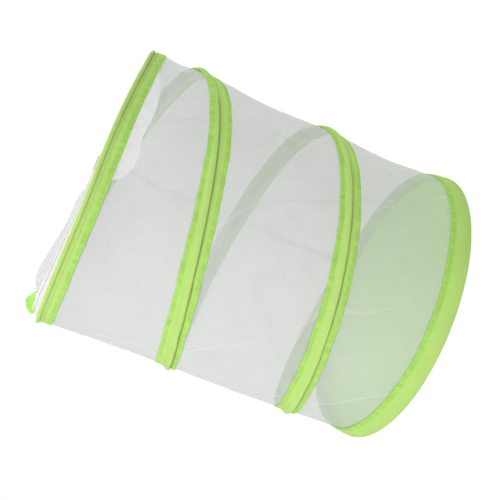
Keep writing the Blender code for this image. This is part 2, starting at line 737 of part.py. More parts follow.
def build():
    """Clear the scene and make every piece."""
    for obj in list(bpy.data.objects):
        bpy.data.objects.remove(obj, do_unlink=True)
    parts = new_collection("insect_cage")
    cutters = new_collection("cutters")

    steel = new_material("spring_steel", (0.55, 0.56, 0.57), 0.35, 1.0)
    tin = new_material("tinned_steel", (0.70, 0.70, 0.72), 0.30, 1.0)
    tape = new_material("green_binding_tape", (0.42, 0.74, 0.12), 0.80)
    mesh_white = new_material("white_mesh", (0.86, 0.86, 0.88), 0.60)
    green_cloth = new_material("green_base_cloth", (0.50, 0.74, 0.30), 0.75)
    zip_white = new_material("white_zip_tape", (0.90, 0.89, 0.86), 0.70)
    nylon = new_material("white_nylon", (0.92, 0.91, 0.88), 0.35)
    zinc = new_material("white_zinc", (0.90, 0.90, 0.89), 0.30)
    ribbon = new_material("green_ribbon", (0.45, 0.78, 0.12), 0.45)

    top = empty("top_travel", (0, 0, TOP_HOOP_Z), parts)
    lid = empty("lid_hinge", (LID_HINGE_X, 0, ZIP_Z), parts, top)
    track = empty("zip_track", (0, 0, ZIP_Z), parts, top)

    # Base hoop and floor
    ring_wire("base_ring_wire", BASE_HOOP_Z, parts, steel, None)
    place(ring_ferrule("base_ring_ferrule", BASE_FERRULE_FACET, BASE_HOOP_Z), parts, tin)
    place(turned("base_binding", hoop_profile(BASE_HOOP_Z, BASE_FLANGE_Z, -1)), parts, tape)
    panel_radius = HOOP_PATH_RADIUS - HOOP_ROLL_RADIUS - SEAT_GAP
    bpy.ops.mesh.primitive_cylinder_add(
        vertices=FACETS_AROUND, radius=panel_radius, depth=BASE_PANEL_THICKNESS,
        location=(0, 0, BASE_PANEL_THICKNESS / 2))
    base_panel = bpy.context.object
    base_panel.name = "base_panel"
    place(base_panel, parts, green_cloth)

    # Coil, its tape and the wall
    points, angle, height = coil_points()
    place(coil_wire(points), parts, steel)
    place(coil_cap("helix_cap_base", points, True), parts, tin)
    place(coil_cap("helix_cap_top", points, False), parts, tin, top)
    place(coil_sleeve(angle, height, cutters), parts, tape)
    wall = [(WALL_OUTER, WALL_HIGH_Z), (WALL_OUTER, WALL_LOW_Z),
            (WALL_INNER, WALL_LOW_Z), (WALL_INNER, WALL_HIGH_Z)]
    place(turned("wall_mesh", wall), parts, mesh_white)
    seam_radius = WALL_INNER - SEAT_GAP - SIDE_SEAM_THICKNESS / 2
    seam_half = SIDE_SEAM_WIDTH / 2 / seam_radius
    seam = strip(
        "side_seam",
        [(seam_radius, BASE_FLANGE_Z + SEAT_GAP), (seam_radius, TOP_FLANGE_Z - SEAT_GAP)],
        lambda radius: (SIDE_SEAM_DEG * DEG - seam_half, SIDE_SEAM_DEG * DEG + seam_half),
        SIDE_SEAM_THICKNESS)
    place(seam, parts, mesh_white)

    # Top hoop and fixed half panel
    ring_wire("top_ring_wire", TOP_HOOP_Z, parts, steel, top)
    place(ring_ferrule("top_ring_ferrule", TOP_FERRULE_FACET, TOP_HOOP_Z), parts, tin, top)
    place(turned("top_binding", hoop_profile(TOP_HOOP_Z, TOP_FLANGE_Z, 1)), parts, tape, top)
    rim = panel_rim_radius()
    panel_centre = ((LID_HINGE_X + rim) / 2, 0)
    edge = panel_outline()
    panel = fan_sheet("top_panel", panel_centre, edge, panel_hem(edge), panel_edge_height, -PANEL_SAG,
                      PANEL_SAG_POWER, FABRIC_THICKNESS)
    place(panel, parts, mesh_white, top)

    # Zip: outer row, tails and stops on the hoop's side, inner row on the lid
    place(zip_rim_tape(), parts, zip_white, top)
    row_start = tail_angle(TAIL_TEETH_END)
    rim_row = teeth_section(ROW_EDGE, ROW_EDGE + TEETH_WIDTH)
    place(arc_bar("zip_teeth_rim", rim_row, row_start, 2 * math.pi - row_start), parts, nylon, top)
    place(zip_tail("zip_tail_closed_end", 1), parts, zip_white, top)
    place(zip_tail("zip_tail_open_end", -1), parts, zip_white, top)
    place(zip_stop("zip_stop_closed_end", 1), parts, zinc, top)
    place(zip_stop("zip_stop_open_end", -1), parts, zinc, top)

    lid_centre = ((LID_HINGE_X - LID_RADIUS) / 2, 0)
    edge = lid_outline()
    flap = fan_sheet("lid_flap", lid_centre, edge, lid_hem(edge), lambda x, y: FABRIC_Z, LID_CROWN,
                     LID_CROWN_POWER, FABRIC_THICKNESS)
    place(flap, parts, mesh_white, lid)
    place(zip_flap_tape(), parts, zip_white, lid)
    flap_start = hinge_angle(ZIP_RADIUS - ROW_EDGE, -LID_TEETH_SETBACK)
    flap_row = teeth_section(-ROW_EDGE, -ROW_EDGE - TEETH_WIDTH)
    place(arc_bar("zip_teeth_flap", flap_row, flap_start, 2 * math.pi - flap_start), parts, nylon, lid)

    slider, seat = zip_slider(cutters)
    place(slider, parts, zinc, track)
    pull_axis = empty("pull_hinge", seat @ Vector((0, 0, PULL_AXIS_UP)), parts, track)
    place(zip_pull(seat), parts, zinc, pull_axis)

    loop, loop_origin = hang_loop()
    loop_axis = empty("loop_hinge", loop_origin, parts, top)
    place(loop, parts, ribbon, loop_axis)

    print("least gap between turns of the coil, mm:", round(least_coil_gap(points) / MM, 2))
    print("zip angle at the hinge, degrees:", round(hinge_angle(ZIP_RADIUS, 0.0) / DEG, 4))
    print("slider parked at, degrees:", round(tail_angle(SLIDER_PARK) / DEG, 4))
    print("loop axis through, mm:", [round(v / MM, 3) for v in loop_origin])


if __name__ == "__main__":
    build()
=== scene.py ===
"""Looks of the pop-up insect cage: gauze wall, green binding tape over a sprung wire coil,
green base cloth, slack top with a zipped lid, and a ribbon loop.

Metres, +Z up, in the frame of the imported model. The front of the photograph is -Y.
"""

import json
import math

import bmesh
import bpy
import numpy as np
from bpy.props import FloatProperty, FloatVectorProperty, PointerProperty
from mathutils import Matrix, Vector

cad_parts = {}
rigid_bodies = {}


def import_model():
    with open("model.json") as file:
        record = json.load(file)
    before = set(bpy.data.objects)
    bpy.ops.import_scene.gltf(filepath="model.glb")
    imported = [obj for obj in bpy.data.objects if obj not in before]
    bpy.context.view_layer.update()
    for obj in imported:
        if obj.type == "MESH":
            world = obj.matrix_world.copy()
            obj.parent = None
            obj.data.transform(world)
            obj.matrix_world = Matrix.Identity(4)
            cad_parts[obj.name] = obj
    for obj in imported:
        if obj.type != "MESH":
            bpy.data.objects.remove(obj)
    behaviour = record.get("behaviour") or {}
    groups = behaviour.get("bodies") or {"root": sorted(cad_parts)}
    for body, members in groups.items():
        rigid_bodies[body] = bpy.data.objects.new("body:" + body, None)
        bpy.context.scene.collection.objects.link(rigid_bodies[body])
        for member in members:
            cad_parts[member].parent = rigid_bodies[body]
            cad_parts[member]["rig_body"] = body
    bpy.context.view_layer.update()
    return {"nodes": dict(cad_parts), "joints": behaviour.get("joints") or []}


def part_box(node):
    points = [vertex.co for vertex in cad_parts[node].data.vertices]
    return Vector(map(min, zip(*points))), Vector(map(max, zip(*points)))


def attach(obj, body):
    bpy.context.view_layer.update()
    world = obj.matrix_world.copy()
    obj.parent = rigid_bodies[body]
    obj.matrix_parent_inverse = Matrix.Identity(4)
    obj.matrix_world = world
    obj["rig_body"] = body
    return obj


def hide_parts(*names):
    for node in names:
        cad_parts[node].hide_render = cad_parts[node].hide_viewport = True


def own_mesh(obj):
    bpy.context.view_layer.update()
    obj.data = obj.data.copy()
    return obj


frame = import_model()

bl_info = {
    "name": "Insect Cage",
    "version": (1, 0, 0),
    "blender": (4, 5, 0),
    "location": "3D View > Sidebar > Insect Cage",
    "description": "Dresses the frame of a pop-up insect cage with cloth, tape, stitching and a zip",
    "category": "Object",
}

MM = 0.001
DEG = math.pi / 180
FULL_TURN = 2 * math.pi

# Sizes read off the frame
TOP_LOW, TOP_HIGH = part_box("top_binding")
BASE_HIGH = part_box("base_binding")[1]
WALL_LOW, WALL_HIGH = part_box("wall_mesh")
SLEEVE_LOW, SLEEVE_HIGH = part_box("helix_sleeve")
BASE_CLOTH_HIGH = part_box("base_panel")[1]
LID_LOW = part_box("lid_flap")[0]
PANEL_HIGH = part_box("top_panel")[1]
JOINTS = {joint["name"]: joint for joint in frame["joints"]}
HINGE_X = JOINTS["lid_hinge"]["pos_m"][0]

# Wire, coil and cloth, as the construction has them
WIRE_RADIUS = 1.0 * MM
FERRULE_RADIUS = 1.45 * MM
ROLL_RADIUS = 2.6 * MM
HOOP_RADIUS = TOP_HIGH.x - ROLL_RADIUS
WALL_OUTER = WALL_HIGH.x
WALL_RADIUS = WALL_OUTER - 0.25 * MM
GAUZE_THICKNESS = 0.3 * MM
HINGE_LAP = 0.15 * MM
COIL_RADIUS = WALL_OUTER + 0.3 * MM + WIRE_RADIUS
COIL_START_DEG = 42.0
COIL_SWEEP_DEG = 786.0
COIL_PITCH = 134.0 * MM
COIL_EASE_DEG = 30.0
COIL_SURGE_DEG = 200.0
COIL_LEAN = 2.0 * MM
COIL_LEAN_DEG = 270.0
COIL_STEP_DEG = 0.5
COIL_TURNS = 3
COIL_BASE_Z = 5.55 * MM
COIL_TOP_Z = TOP_HIGH.z - 5.55 * MM
SLEEVE_WIDTH = 22.0 * MM
UNDER_TAPE = 0.42 * SLEEVE_WIDTH
SEAM_DEG = 79.0
SEAM_WIDTH = 6.0 * MM

# How the cloth and the hoops give way, read off the photograph
HOOP_BOW = 1.3 * MM
HOOP_PULL = 2.8 * MM
ZIP_SWELL = 4.5 * MM
ZIP_SINK = 1.08 * MM
CREASE_DEPTH = 1.3 * MM
COIL_BULGE = 2.8 * MM
COIL_BULGE_WIDTH = 2.4 * MM
TOP_TAPE_REACH = 6 * MM
TAPE_PUCKER = 0.28 * MM
TAPE_WANDER = 0.35 * MM
COIL_TAPE_PUCKER = 0.30 * MM
COIL_TAPE_WANDER = 0.45 * MM
RIB_HEIGHT = 3.5 * MM
RIB_TOP = 0.9 * MM
FLANGE_LOW = 2.0 * MM
FLANGE_HIGH = 5.0 * MM
PANEL_FOLD = 1.6 * MM
LID_FOLD = 0.5 * MM

# Sizes of the patterns on the cloth
GAUZE_SPACING = 1.2 * MM
GAUZE_FOLDS = 95 * MM

# Camera, from the photograph: place, and where its right, down and forward sides point
CAMERA_PLACE = (-0.004, -0.80413, 0.33601)
CAMERA_RIGHT = (0.360443, -0.182265, -0.914801)
CAMERA_DOWN = (-0.932781, -0.071306, -0.353321)
CAMERA_FORWARD = (-0.000833, 0.980661, -0.195715)
CAMERA_LENS = 54.39
SENSOR_WIDTH = 36.0

# Edges of metal fittings that turn more than this stay sharp
SHARP_DEG = 40.0


def linear(hex_colour):
    """An sRGB hex colour as linear red, green and blue."""
    values = [int(hex_colour[k:k + 2], 16) / 255 for k in (1, 3, 5)]
    return [v / 12.92 if v <= 0.04045 else ((v + 0.055) / 1.055) ** 2.4 for v in values]


class CageShape(bpy.types.PropertyGroup):
    """How the cloth cage stands, away from its drawn form."""

    lean: FloatProperty(
        name="Lean", description="How far the base stands off the top's axis, towards -X",
        default=4.3 * MM, unit="LENGTH")
    tilt: FloatProperty(
        name="Tilt", description="Slope of the top hoop, down towards +X", default=0.0365)
    waist: FloatProperty(
        name="Waist", description="How far the wall draws in between two turns of the coil",
        default=3.2 * MM, unit="LENGTH")
    crown: FloatProperty(
        name="Lid crown", description="Rise of the lid's slack cloth over its edge",
        default=14.0 * MM, unit="LENGTH")
    sag: FloatProperty(
        name="Panel sag", description="Hang of the fixed half of the top under its edge",
        default=29.0 * MM, unit="LENGTH")
    stitch: FloatProperty(
        name="Stitch", description="Length of one sewing stitch", default=3.0 * MM, unit="LENGTH")


class CagePaint(bpy.types.PropertyGroup):
    """Colours of the cage's materials."""

    gauze: FloatVectorProperty(
        name="Gauze", description="Knitted see-through wall", subtype="COLOR",
        default=linear("#D3D3D4"))
    tape: FloatVectorProperty(
        name="Tape", description="Green binding tape", subtype="COLOR", default=linear("#D0EB90"))
    hem: FloatVectorProperty(
        name="Tape hem", description="Green binding tape where it is doubled", subtype="COLOR",
        default=linear("#BFE876"))
    base: FloatVectorProperty(
        name="Base cloth", description="Green base cloth", subtype="COLOR", default=linear("#B1E275"))
    zip: FloatVectorProperty(
        name="Zip", description="Cream zip tape and coil", subtype="COLOR", default=linear("#E0DCD8"))
    ribbon: FloatVectorProperty(
        name="Ribbon", description="Green satin ribbon", subtype="COLOR", default=linear("#BCEE78"))


def smooth(x):
    """3x squared minus 2x cubed, held at 0 below 0 and at 1 above 1."""
    x = np.clip(x, 0, 1)
    return x * x * (3 - 2 * x)


def ripple(x, waves, seed):
    """A sum of sines: waves are (length, height) pairs, and each starts at a seeded phase."""
    phases = np.random.default_rng(seed).uniform(0, FULL_TURN, len(waves))
    return sum(h * np.sin(FULL_TURN * x / w + p) for (w, h), p in zip(waves, phases))


def settle(points):
    """Stand drawn points as the real cage stands.

    The lower part slides towards -X by the lean, which fades out upwards between two heights.
    The upper part drops by tilt times x, or times x squared over the radius on the +X side,
    which fades in upwards. The top hoop bows a little and is pulled in at its +X side.
    """
    shape = bpy.context.scene.cage_shape
    points = np.array(points, float)
    x = points[..., 0].copy()
    share = points[..., 2] / TOP_HIGH.z
    slope = np.where(x > 0, x * x / HOOP_RADIUS, x)
    bow = HOOP_BOW * np.sin(math.pi * np.clip((x + 30 * MM) / (150 * MM), 0, 1))
    drop = (shape.tilt * slope - bow) * smooth((share - 0.80) / 0.18)
    pull = HOOP_PULL * smooth(x / HOOP_RADIUS) * smooth((share - 0.975) / 0.025)
    points[..., 2] -= drop
    points[..., 0] -= shape.lean * (1 - smooth((share - 0.30) / 0.52)) + pull
    return points


def swell(points):
    """Lift the zip's side of the top at its -X rim, where the lid's slack cloth pulls it up.

    The lift grows inwards from the hoop, and the zip sinks a little at its ends by the hinge.
    """
    points = np.array(points, float)
    x, y = points[..., 0], points[..., 1]
    inwards = smooth((HOOP_RADIUS - 2 * MM - np.hypot(x, y)) / (10 * MM))
    rim = smooth((np.hypot(x, y) - 100 * MM) / (25 * MM))
    points[..., 2] += ZIP_SWELL * smooth((-x - 50 * MM) / (90 * MM)) * inwards
    points[..., 2] -= ZIP_SINK * smooth((x + 60 * MM) / (50 * MM)) * rim
    return points


def around(radius, angle, height):
    """Points on a turned surface: radius times the cosine and sine of the angle, and the height."""
    radius, angle, height = np.broadcast_arrays(radius, angle, height)
    return np.stack([radius * np.cos(angle), radius * np.sin(angle), height], axis=-1)


def circle(count):
    """Angles at equal steps all the way round."""
    return np.linspace(0, FULL_TURN, count, endpoint=False)


def unit(vectors):
    """Vectors brought to length one."""
    return vectors / np.linalg.norm(vectors, axis=-1)[..., None]


def square_to(vectors, heading):
    """Vectors turned square to a heading, by taking out what lies along it, at length one."""
    return unit(vectors - heading * (vectors * heading).sum(axis=1)[:, None])


def run_along(path):
    """How far along a path each of its points lies."""
    return np.concatenate([[0], np.cumsum(np.linalg.norm(np.diff(path, axis=0), axis=1))])


def at_steps(path, run, steps):
    """Points at given runs along a path."""
    return np.stack([np.interp(steps, run, column) for column in path.T], axis=1)


def map_grid(along, across):
    """A map for a grid: U from its rows, and V from its columns or from every point."""
    return np.stack(np.broadcast_arrays(along[:, None], across), axis=-1)


def grid_faces(rows, columns, wrap=False, closed=False):
    """Corner indices of the quads between neighbours of a grid, whose rows or columns may close."""
    index = np.arange(rows * columns).reshape(rows, columns)
    if closed:
        index = np.hstack([index, index[:, :1]])
    if wrap:
        index = np.vstack([index, index[:1]])
    return np.stack([index[:-1, :-1], index[1:, :-1], index[1:, 1:], index[:-1, 1:]], axis=-1).reshape(-1, 4)


def in_scene(name, data):
    """An object for some data, linked to the scene."""
    obj = bpy.data.objects.new(name, data)
    bpy.context.scene.collection.objects.link(obj)
    return obj


def mesh_object(name, points, faces):
    """A smooth object in the scene from points and faces."""
    mesh = bpy.data.meshes.new(name)
    mesh.from_pydata(points.reshape(-1, 3), [], faces)
    mesh.shade_smooth()
    return in_scene(name, mesh)


def sheet_object(name, points, uv, wrap=False, flip=False, rib=None):
    """A skin over a grid of points, with each corner's place in uv, both in metres.

    A rib map, where there is one, is a second map that is measured from the rib.
    """
    rows, columns = points.shape[:2]
    faces = grid_faces(rows, columns, wrap)
    corners = grid_faces(rows + 1, columns) if wrap else faces
    if flip:
        faces, corners = faces[:, ::-1], corners[:, ::-1]
    obj = mesh_object(name, points, faces.tolist())
    for label, places in (("cloth", uv), ("rib", rib)):
        if places is not None:
            layer = obj.data.uv_layers.new(name=label)
            layer.data.foreach_set("uv", places.reshape(-1, 2)[corners.ravel()].ravel())
    return obj


def tube(name, path, radius, sides=8, wrap=False):
    """A round tube along a path: rings square to it, closed at both ends or joined in a loop."""
    path = np.asarray(path)
    if wrap:
        ahead = np.roll(path, -1, axis=0) - np.roll(path, 1, axis=0)
    else:
        ahead = np.gradient(path, axis=0)
    ahead = unit(ahead)
    out = square_to(path * [1, 1, 0], ahead)
    side = np.cross(ahead, out)
    turn = circle(sides)
    ring = out[:, None] * np.cos(turn)[None, :, None] + side[:, None] * np.sin(turn)[None, :, None]
    points = path[:, None] + radius * ring
    rows = len(path)
    faces = grid_faces(rows, sides, wrap, closed=True)[:, ::-1].tolist()
    if not wrap:
        faces += [list(range(sides)), list(range(rows * sides - 1, (rows - 1) * sides - 1, -1))]
    return mesh_object(name, points, faces)


def thicken(obj, thickness, offset=0.0):
    """Give a sheet its thickness: offset 0 splits it, 1 puts it outside, -1 inside."""
    wall = obj.modifiers.new("Thickness", "SOLIDIFY")
    wall.thickness = thickness
    wall.offset = offset
    wall.use_even_offset = False


def finish_piece(obj, material, body, *nodes, slot=None):
    """Give a piece its material and its body, and hide the nodes that it stands for. Its slot is not used.
    """
    obj.data.materials.clear()
    obj.data.materials.append(paint(material))
    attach(obj, body)
    if nodes:
        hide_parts(*nodes)
    # Fine gauze lets its light through, so it throws no shadow
    obj.visible_shadow = "gauze" not in material
    return obj


def settled_copy(node, name, material, slot, bevel=0.0):
    """A CAD node's shape, welded and stood as the cage stands, in place of the node."""
    source = frame["nodes"][node]
    mesh = source.data.copy()
    mesh.name = name
    shell = bmesh.new()
    shell.from_mesh(mesh)
    bmesh.ops.remove_doubles(shell, verts=shell.verts, dist=0.01 * MM)
    shell.to_mesh(mesh)
    shell.free()
    points = np.zeros((len(mesh.vertices), 3))
    mesh.vertices.foreach_get("co", points.ravel())
    if node.startswith("zip"):
        points = swell(points)
    mesh.vertices.foreach_set("co", settle(points).ravel())
    mesh.shade_smooth()
    mesh.set_sharp_from_angle(angle=SHARP_DEG * DEG)
    obj = in_scene(name, mesh)
    if bevel:
        edge = obj.modifiers.new("Edges", "BEVEL")
        edge.width = bevel
        edge.segments = 2
        edge.limit_method = "ANGLE"
        edge.angle_limit = SHARP_DEG * DEG
    finish_piece(obj, material, source["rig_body"], node, slot=slot)


def coil_height(turn_deg):
    """Height of the coil's wire after some degrees of turn from its start at the base.

    It runs level into each hoop, climbs at an even pitch between them, and surges near each end
    by what the even pitch leaves over. Its turns lean a little.
    """
    turn = np.arange(0, COIL_SWEEP_DEG + COIL_STEP_DEG / 2, COIL_STEP_DEG)
    from_end = np.minimum(turn, COIL_SWEEP_DEG - turn)
    ease = smooth(from_end / COIL_EASE_DEG)
    surge = ease * np.sin(math.pi * np.clip(from_end / COIL_SURGE_DEG, 0, 1)) ** 2
    even = ease * COIL_PITCH / 360
    left_over = COIL_TOP_Z - COIL_BASE_Z - even.sum() * COIL_STEP_DEG
    slope = even + surge * left_over / (surge.sum() * COIL_STEP_DEG)
    climb = np.concatenate([[0], np.cumsum((slope[1:] + slope[:-1]) / 2) * COIL_STEP_DEG])
    lean = COIL_LEAN * np.cos((COIL_START_DEG + turn - COIL_LEAN_DEG) * DEG)
    lean = lean * np.clip(from_end / COIL_SURGE_DEG, 0, 1) ** 2
    return np.interp(turn_deg, turn, COIL_BASE_Z + climb + lean)


def rib_shift(turn_deg):
    """How far the wire lies off the middle of its tape, which twists as the coil goes round.

    A constant plus a cosine of the angle, fading out at both ends of the coil.
    """
    from_end = np.minimum(turn_deg, COIL_SWEEP_DEG - turn_deg)
    fade = smooth((from_end - 20) / 70)
    upper = smooth((turn_deg - 330) / 160)
    swing = (3.2 + 1.6 * upper) * MM * np.cos((COIL_START_DEG + turn_deg) * DEG)
    return fade * ((-1.1 + 1.2 * upper) * MM + swing)


def wall_radius(angle, height):
    """Radius of the wall: full at each hoop and each turn of the coil, and drawn in between them.

    Between two lines of tape the wall falls in by the waist times the square of a sine, less
    where they stand close together, and not on the -X side. Long slack creases run aslant across it.
    """
    waist = bpy.context.scene.cage_shape.waist
    deg = np.mod(angle / DEG - COIL_START_DEG, 360)
    turns = [deg + 360 * k for k in range(COIL_TURNS)]
    foot = BASE_HIGH.z - 0.5 * UNDER_TAPE
    head = TOP_LOW.z + 0.5 * UNDER_TAPE
    edges = [np.full_like(deg, foot)]
    for turn in turns:
        on_coil = turn <= COIL_SWEEP_DEG
        line = np.where(on_coil, coil_height(np.minimum(turn, COIL_SWEEP_DEG)), TOP_HIGH.z)
        edges.append(np.clip(line - UNDER_TAPE, foot, head))
        edges.append(np.clip(line + UNDER_TAPE, foot, head))
    edges.append(np.full_like(deg, head))
    radius = np.full_like(angle, WALL_RADIUS - 0.25 * MM)
    for low, high in zip(edges[::2], edges[1::2]):
        gap = high - low
        inside = (height >= low) & (height < high) & (gap > MM)
        share = np.where(inside, (height - low) / np.maximum(gap, MM), 0)
        depth = waist * np.clip(gap / COIL_PITCH, 0, 1) * (0.5 + 0.5 * np.cos(angle))
        radius = radius - np.where(inside, depth * np.sin(math.pi * share) ** 2, 0)
        # Creases fan out of the tape, always inwards, and die away towards the tape
        across = angle * WALL_RADIUS
        slant = across + 0.8 * (height - low)
        crease = ripple(slant, [(61 * MM, 0.35), (37 * MM, 0.3), (23 * MM, 0.2)], 5)
        crease += ripple(across - 1.3 * (height - low), [(83 * MM, 0.35), (47 * MM, 0.25)], 8)
        fade = np.sin(math.pi * share) * np.clip(gap / COIL_PITCH, 0, 1)
        radius = radius + np.where(inside, CREASE_DEPTH * np.minimum(crease, 0.1) * fade, 0)
    return radius


def add_node(tree, kind, inputs=None, **settings):
    """Add one shader node: its settings, then each input's value or the socket that feeds it."""
    node = tree.nodes.new(kind)
    for key, value in settings.items():
        setattr(node, key, value)
    for key, value in (inputs or {}).items():
        if isinstance(value, bpy.types.NodeSocket):
            tree.links.new(value, node.inputs[key])
        else:
            node.inputs[key].default_value = value
    return node


def new_material(name):
    """An empty node material and its tree."""
    material = bpy.data.materials.new(name)
    material.use_nodes = True
    material.node_tree.nodes.clear()
    return material, material.node_tree


def output(tree, shader):
    """Link a shader to the material's output."""
    add_node(tree, "ShaderNodeOutputMaterial", {"Surface": shader})


def coordinates(tree, kind):
    """Where the pattern is laid out: a piece's own map, or its object space."""
    return add_node(tree, "ShaderNodeTexCoord").outputs[kind]


def maths(tree, operation, *values):
    """The result of a sum on sockets or numbers."""
    return add_node(tree, "ShaderNodeMath", dict(enumerate(values)), operation=operation).outputs[0]


def remap(tree, value, start, end, low, high, curve="LINEAR"):
    """A value whose run from start to end is stretched from low to high, and held beyond them."""
    return add_node(
        tree, "ShaderNodeMapRange",
        {"Value": value, "From Min": start, "From Max": end, "To Min": low, "To Max": high},
        interpolation_type=curve).outputs[0]


def noise(tree, place, size, detail, roughness=0.5):
    """Cloudy noise of a size in the units of its place."""
    return add_node(
        tree, "ShaderNodeTexNoise",
        {"Vector": place, "Scale": 1 / size, "Detail": detail, "Roughness": roughness}).outputs["Fac"]


def threads(tree, coordinate, spacing, turn=0.0, wander=0.0, wander_scale=1.0):
    """Brightness of parallel threads a spacing apart, as a sine across them."""
    place = add_node(tree, "ShaderNodeMapping", {"Vector": coordinate, "Rotation": (0, 0, turn)})
    # A wave texture at scale 1 has a period of pi / 10
    return add_node(
        tree, "ShaderNodeTexWave",
        {"Vector": place.outputs[0], "Scale": math.pi / 10 / spacing, "Distortion": wander,
         "Detail": 2.0, "Detail Scale": wander_scale}, wave_type="BANDS", bands_direction="X").outputs["Fac"]


def mix_colour(tree, factor, a, b):
    """A colour between two, by a factor: sockets or fixed values.

    The node's sockets 6 and 7 are its two colours, and its output 2 is the mixed colour.
    """
    a, b = (c if isinstance(c, bpy.types.NodeSocket) else (*c, 1) for c in (a, b))
    return add_node(tree, "ShaderNodeMix", {0: factor, 6: a, 7: b}, data_type="RGBA").outputs[2]


def mix_shader(tree, factor, a, b):
    """A shader between two, by a factor."""
    return add_node(tree, "ShaderNodeMixShader", {0: factor, 1: a, 2: b}).outputs[0]


def bumped(tree, height, strength):
    """A normal for unevenness a tenth of a millimetre deep."""
    return add_node(
        tree, "ShaderNodeBump", {"Height": height, "Strength": strength, "Distance": 0.1 * MM}).outputs[0]


def principled(tree, **inputs):
    """A Principled shader: the inputs' names are written with underscores."""
    inputs = {key.replace("_", " "): value for key, value in inputs.items()}
    return add_node(tree, "ShaderNodeBsdfPrincipled", inputs).outputs[0]


def cloth_shader(tree, colour, normal, roughness, shine, sheen, sheen_roughness, glow):
    """Cloth: a matt face with a little sheen, and a share of the light that glows through it."""
    face = principled(
        tree, Base_Color=colour, Normal=normal, Roughness=roughness, Specular_IOR_Level=shine,
        Sheen_Weight=sheen, Sheen_Roughness=sheen_roughness)
    through = add_node(tree, "ShaderNodeBsdfTranslucent", {"Color": colour}).outputs[0]
    return mix_shader(tree, glow, face, through)


def shaded(colour, share):
    """A colour times a share, held at full white."""
    return [min(1, c * share) for c in colour]


def gauze_material(name, colour, opacity, glow, shine):
    """Knitted polyester gauze: fine threads with air between them, so white shows through it.

    Threads stand 0.5 mm apart on the real cloth and are drawn 1.2 mm apart, or they wouldn't show.
    """
    material, tree = new_material(name)
    uv = coordinates(tree, "UV")
    cross = maths(tree, "MAXIMUM", *(threads(tree, uv, GAUZE_SPACING, turn) for turn in (0, math.pi / 2)))
    cover = remap(tree, cross, 0.0, 1.0, opacity * 0.82, opacity * 1.18)
    # Cloth is a little denser in places, as it was knitted and folded
    dense = remap(tree, noise(tree, uv, 60 * MM, 3.0, 0.55), 0.3, 0.7, -0.04, 0.04)
    # Long fold lines wander across it, where it was packed flat
    fold = threads(tree, uv, GAUZE_FOLDS, -0.6, wander=4.0, wander_scale=1.4)
    fold = remap(tree, fold, 0.993, 1.0, 0.0, 0.09, "SMOOTHSTEP")
    alpha = maths(tree, "ADD", cover, maths(tree, "ADD", dense, fold))
    lit = cloth_shader(tree, (*colour, 1), bumped(tree, cross, 0.15), 0.5, shine, 0.2, 0.4, glow)
    air = add_node(tree, "ShaderNodeBsdfTransparent").outputs[0]
    output(tree, mix_shader(tree, alpha, air, lit))
    return material


def woven_material(name, pale, deep, spacing, roughness, hems=(), crease_shades=(), glow=0.3):
    """Woven cloth or tape: a plain weave, deeper in colour where it is doubled for a hem.

    Its map runs along the tape in U and across it in V, in metres. Hems are (place, way) pairs:
    beyond that place, up or down V, the cloth is double and puckered by its stitches, and it is
    painted darker in the puckers' hollows and lighter on their crests, as painted shade and light.
    Crease shades are places where a dark line of painted shade is laid along the tape's crease:
    place, width, depth, and the map it is on.
    """
    material, tree = new_material(name)
    uv = coordinates(tree, "UV")
    height = maths(tree, "MULTIPLY", *(threads(tree, uv, spacing, turn) for turn in (0, math.pi / 2)))
    body = mix_colour(tree, noise(tree, uv, 40 * MM, 4.0), shaded(pale, 0.93), shaded(pale, 1.05))
    if hems:
        across = add_node(tree, "ShaderNodeSeparateXYZ", {0: uv}).outputs["Y"]
        edges = [remap(tree, across, place - way * 1.1 * MM, place + way * 1.1 * MM, 0.0, 1.0, "SMOOTHSTEP")
                 for place, way in hems]
        doubled = edges[0]
        for edge in edges[1:]:
            doubled = maths(tree, "MAXIMUM", doubled, edge)
        # Puckers stand across the tape: short along it and long across it. The hem is painted darker in
        # their hollows and lighter on their crests: painted shade and light of the puckers
        stretched = add_node(
            tree, "ShaderNodeMapping", {"Vector": uv, "Scale": (1 / (4.5 * MM), 1 / (16 * MM), 1)})
        pucker = noise(tree, stretched.outputs[0], 1.0, 2.0)
        shade = remap(tree, pucker, 0.3, 0.65, 0.0, 1.0)
        hem = mix_colour(tree, shade, shaded(deep, 0.88), shaded(deep, 1.05))
        body = mix_colour(tree, doubled, body, hem)
        height = maths(tree, "MULTIPLY_ADD", maths(tree, "MULTIPLY", pucker, doubled), 3.0, height)
    # Each crease shade is a dark line of painted shade along the tape's crease
    for place, width, depth, layer in crease_shades:
        from_map = add_node(tree, "ShaderNodeUVMap", uv_map=layer).outputs[0]
        measured = add_node(tree, "ShaderNodeSeparateXYZ", {0: from_map}).outputs["Y"]
        away = maths(tree, "ABSOLUTE", maths(tree, "SUBTRACT", measured, place))
        line = remap(tree, away, width * 0.3, width, depth, 0.0, "SMOOTHSTEP")
        body = mix_colour(tree, line, body, shaded(deep, 0.40))
    output(tree, cloth_shader(tree, body, bumped(tree, height, 0.4), roughness, 0.3, 0.15, 0.45, glow))
    return material


def wire_material(name, colour, roughness):
    """Steel: drawn spring wire or a crimped tinned ferrule, with fine marks along it."""
    material, tree = new_material(name)
    marks = noise(tree, coordinates(tree, "Object"), 3 * MM, 3.0)
    rough = remap(tree, marks, 0.0, 1.0, roughness - 0.08, roughness + 0.12)
    tone = mix_colour(tree, marks, shaded(colour, 0.85), colour)
    output(tree, principled(tree, Base_Color=tone, Metallic=1.0, Roughness=rough))
    return material


def enamel_material(name, colour):
    """White enamel baked on die-cast zinc: smooth and glossy, with a faint unevenness."""
    material, tree = new_material(name)
    skin = noise(tree, coordinates(tree, "Object"), 2 * MM, 2.0)
    tone = mix_colour(tree, skin, shaded(colour, 0.94), colour)
    output(tree, principled(
        tree, Base_Color=tone, Normal=bumped(tree, skin, 0.1), Roughness=0.25, Coat_Weight=0.4,
        Coat_Roughness=0.1))
    return material


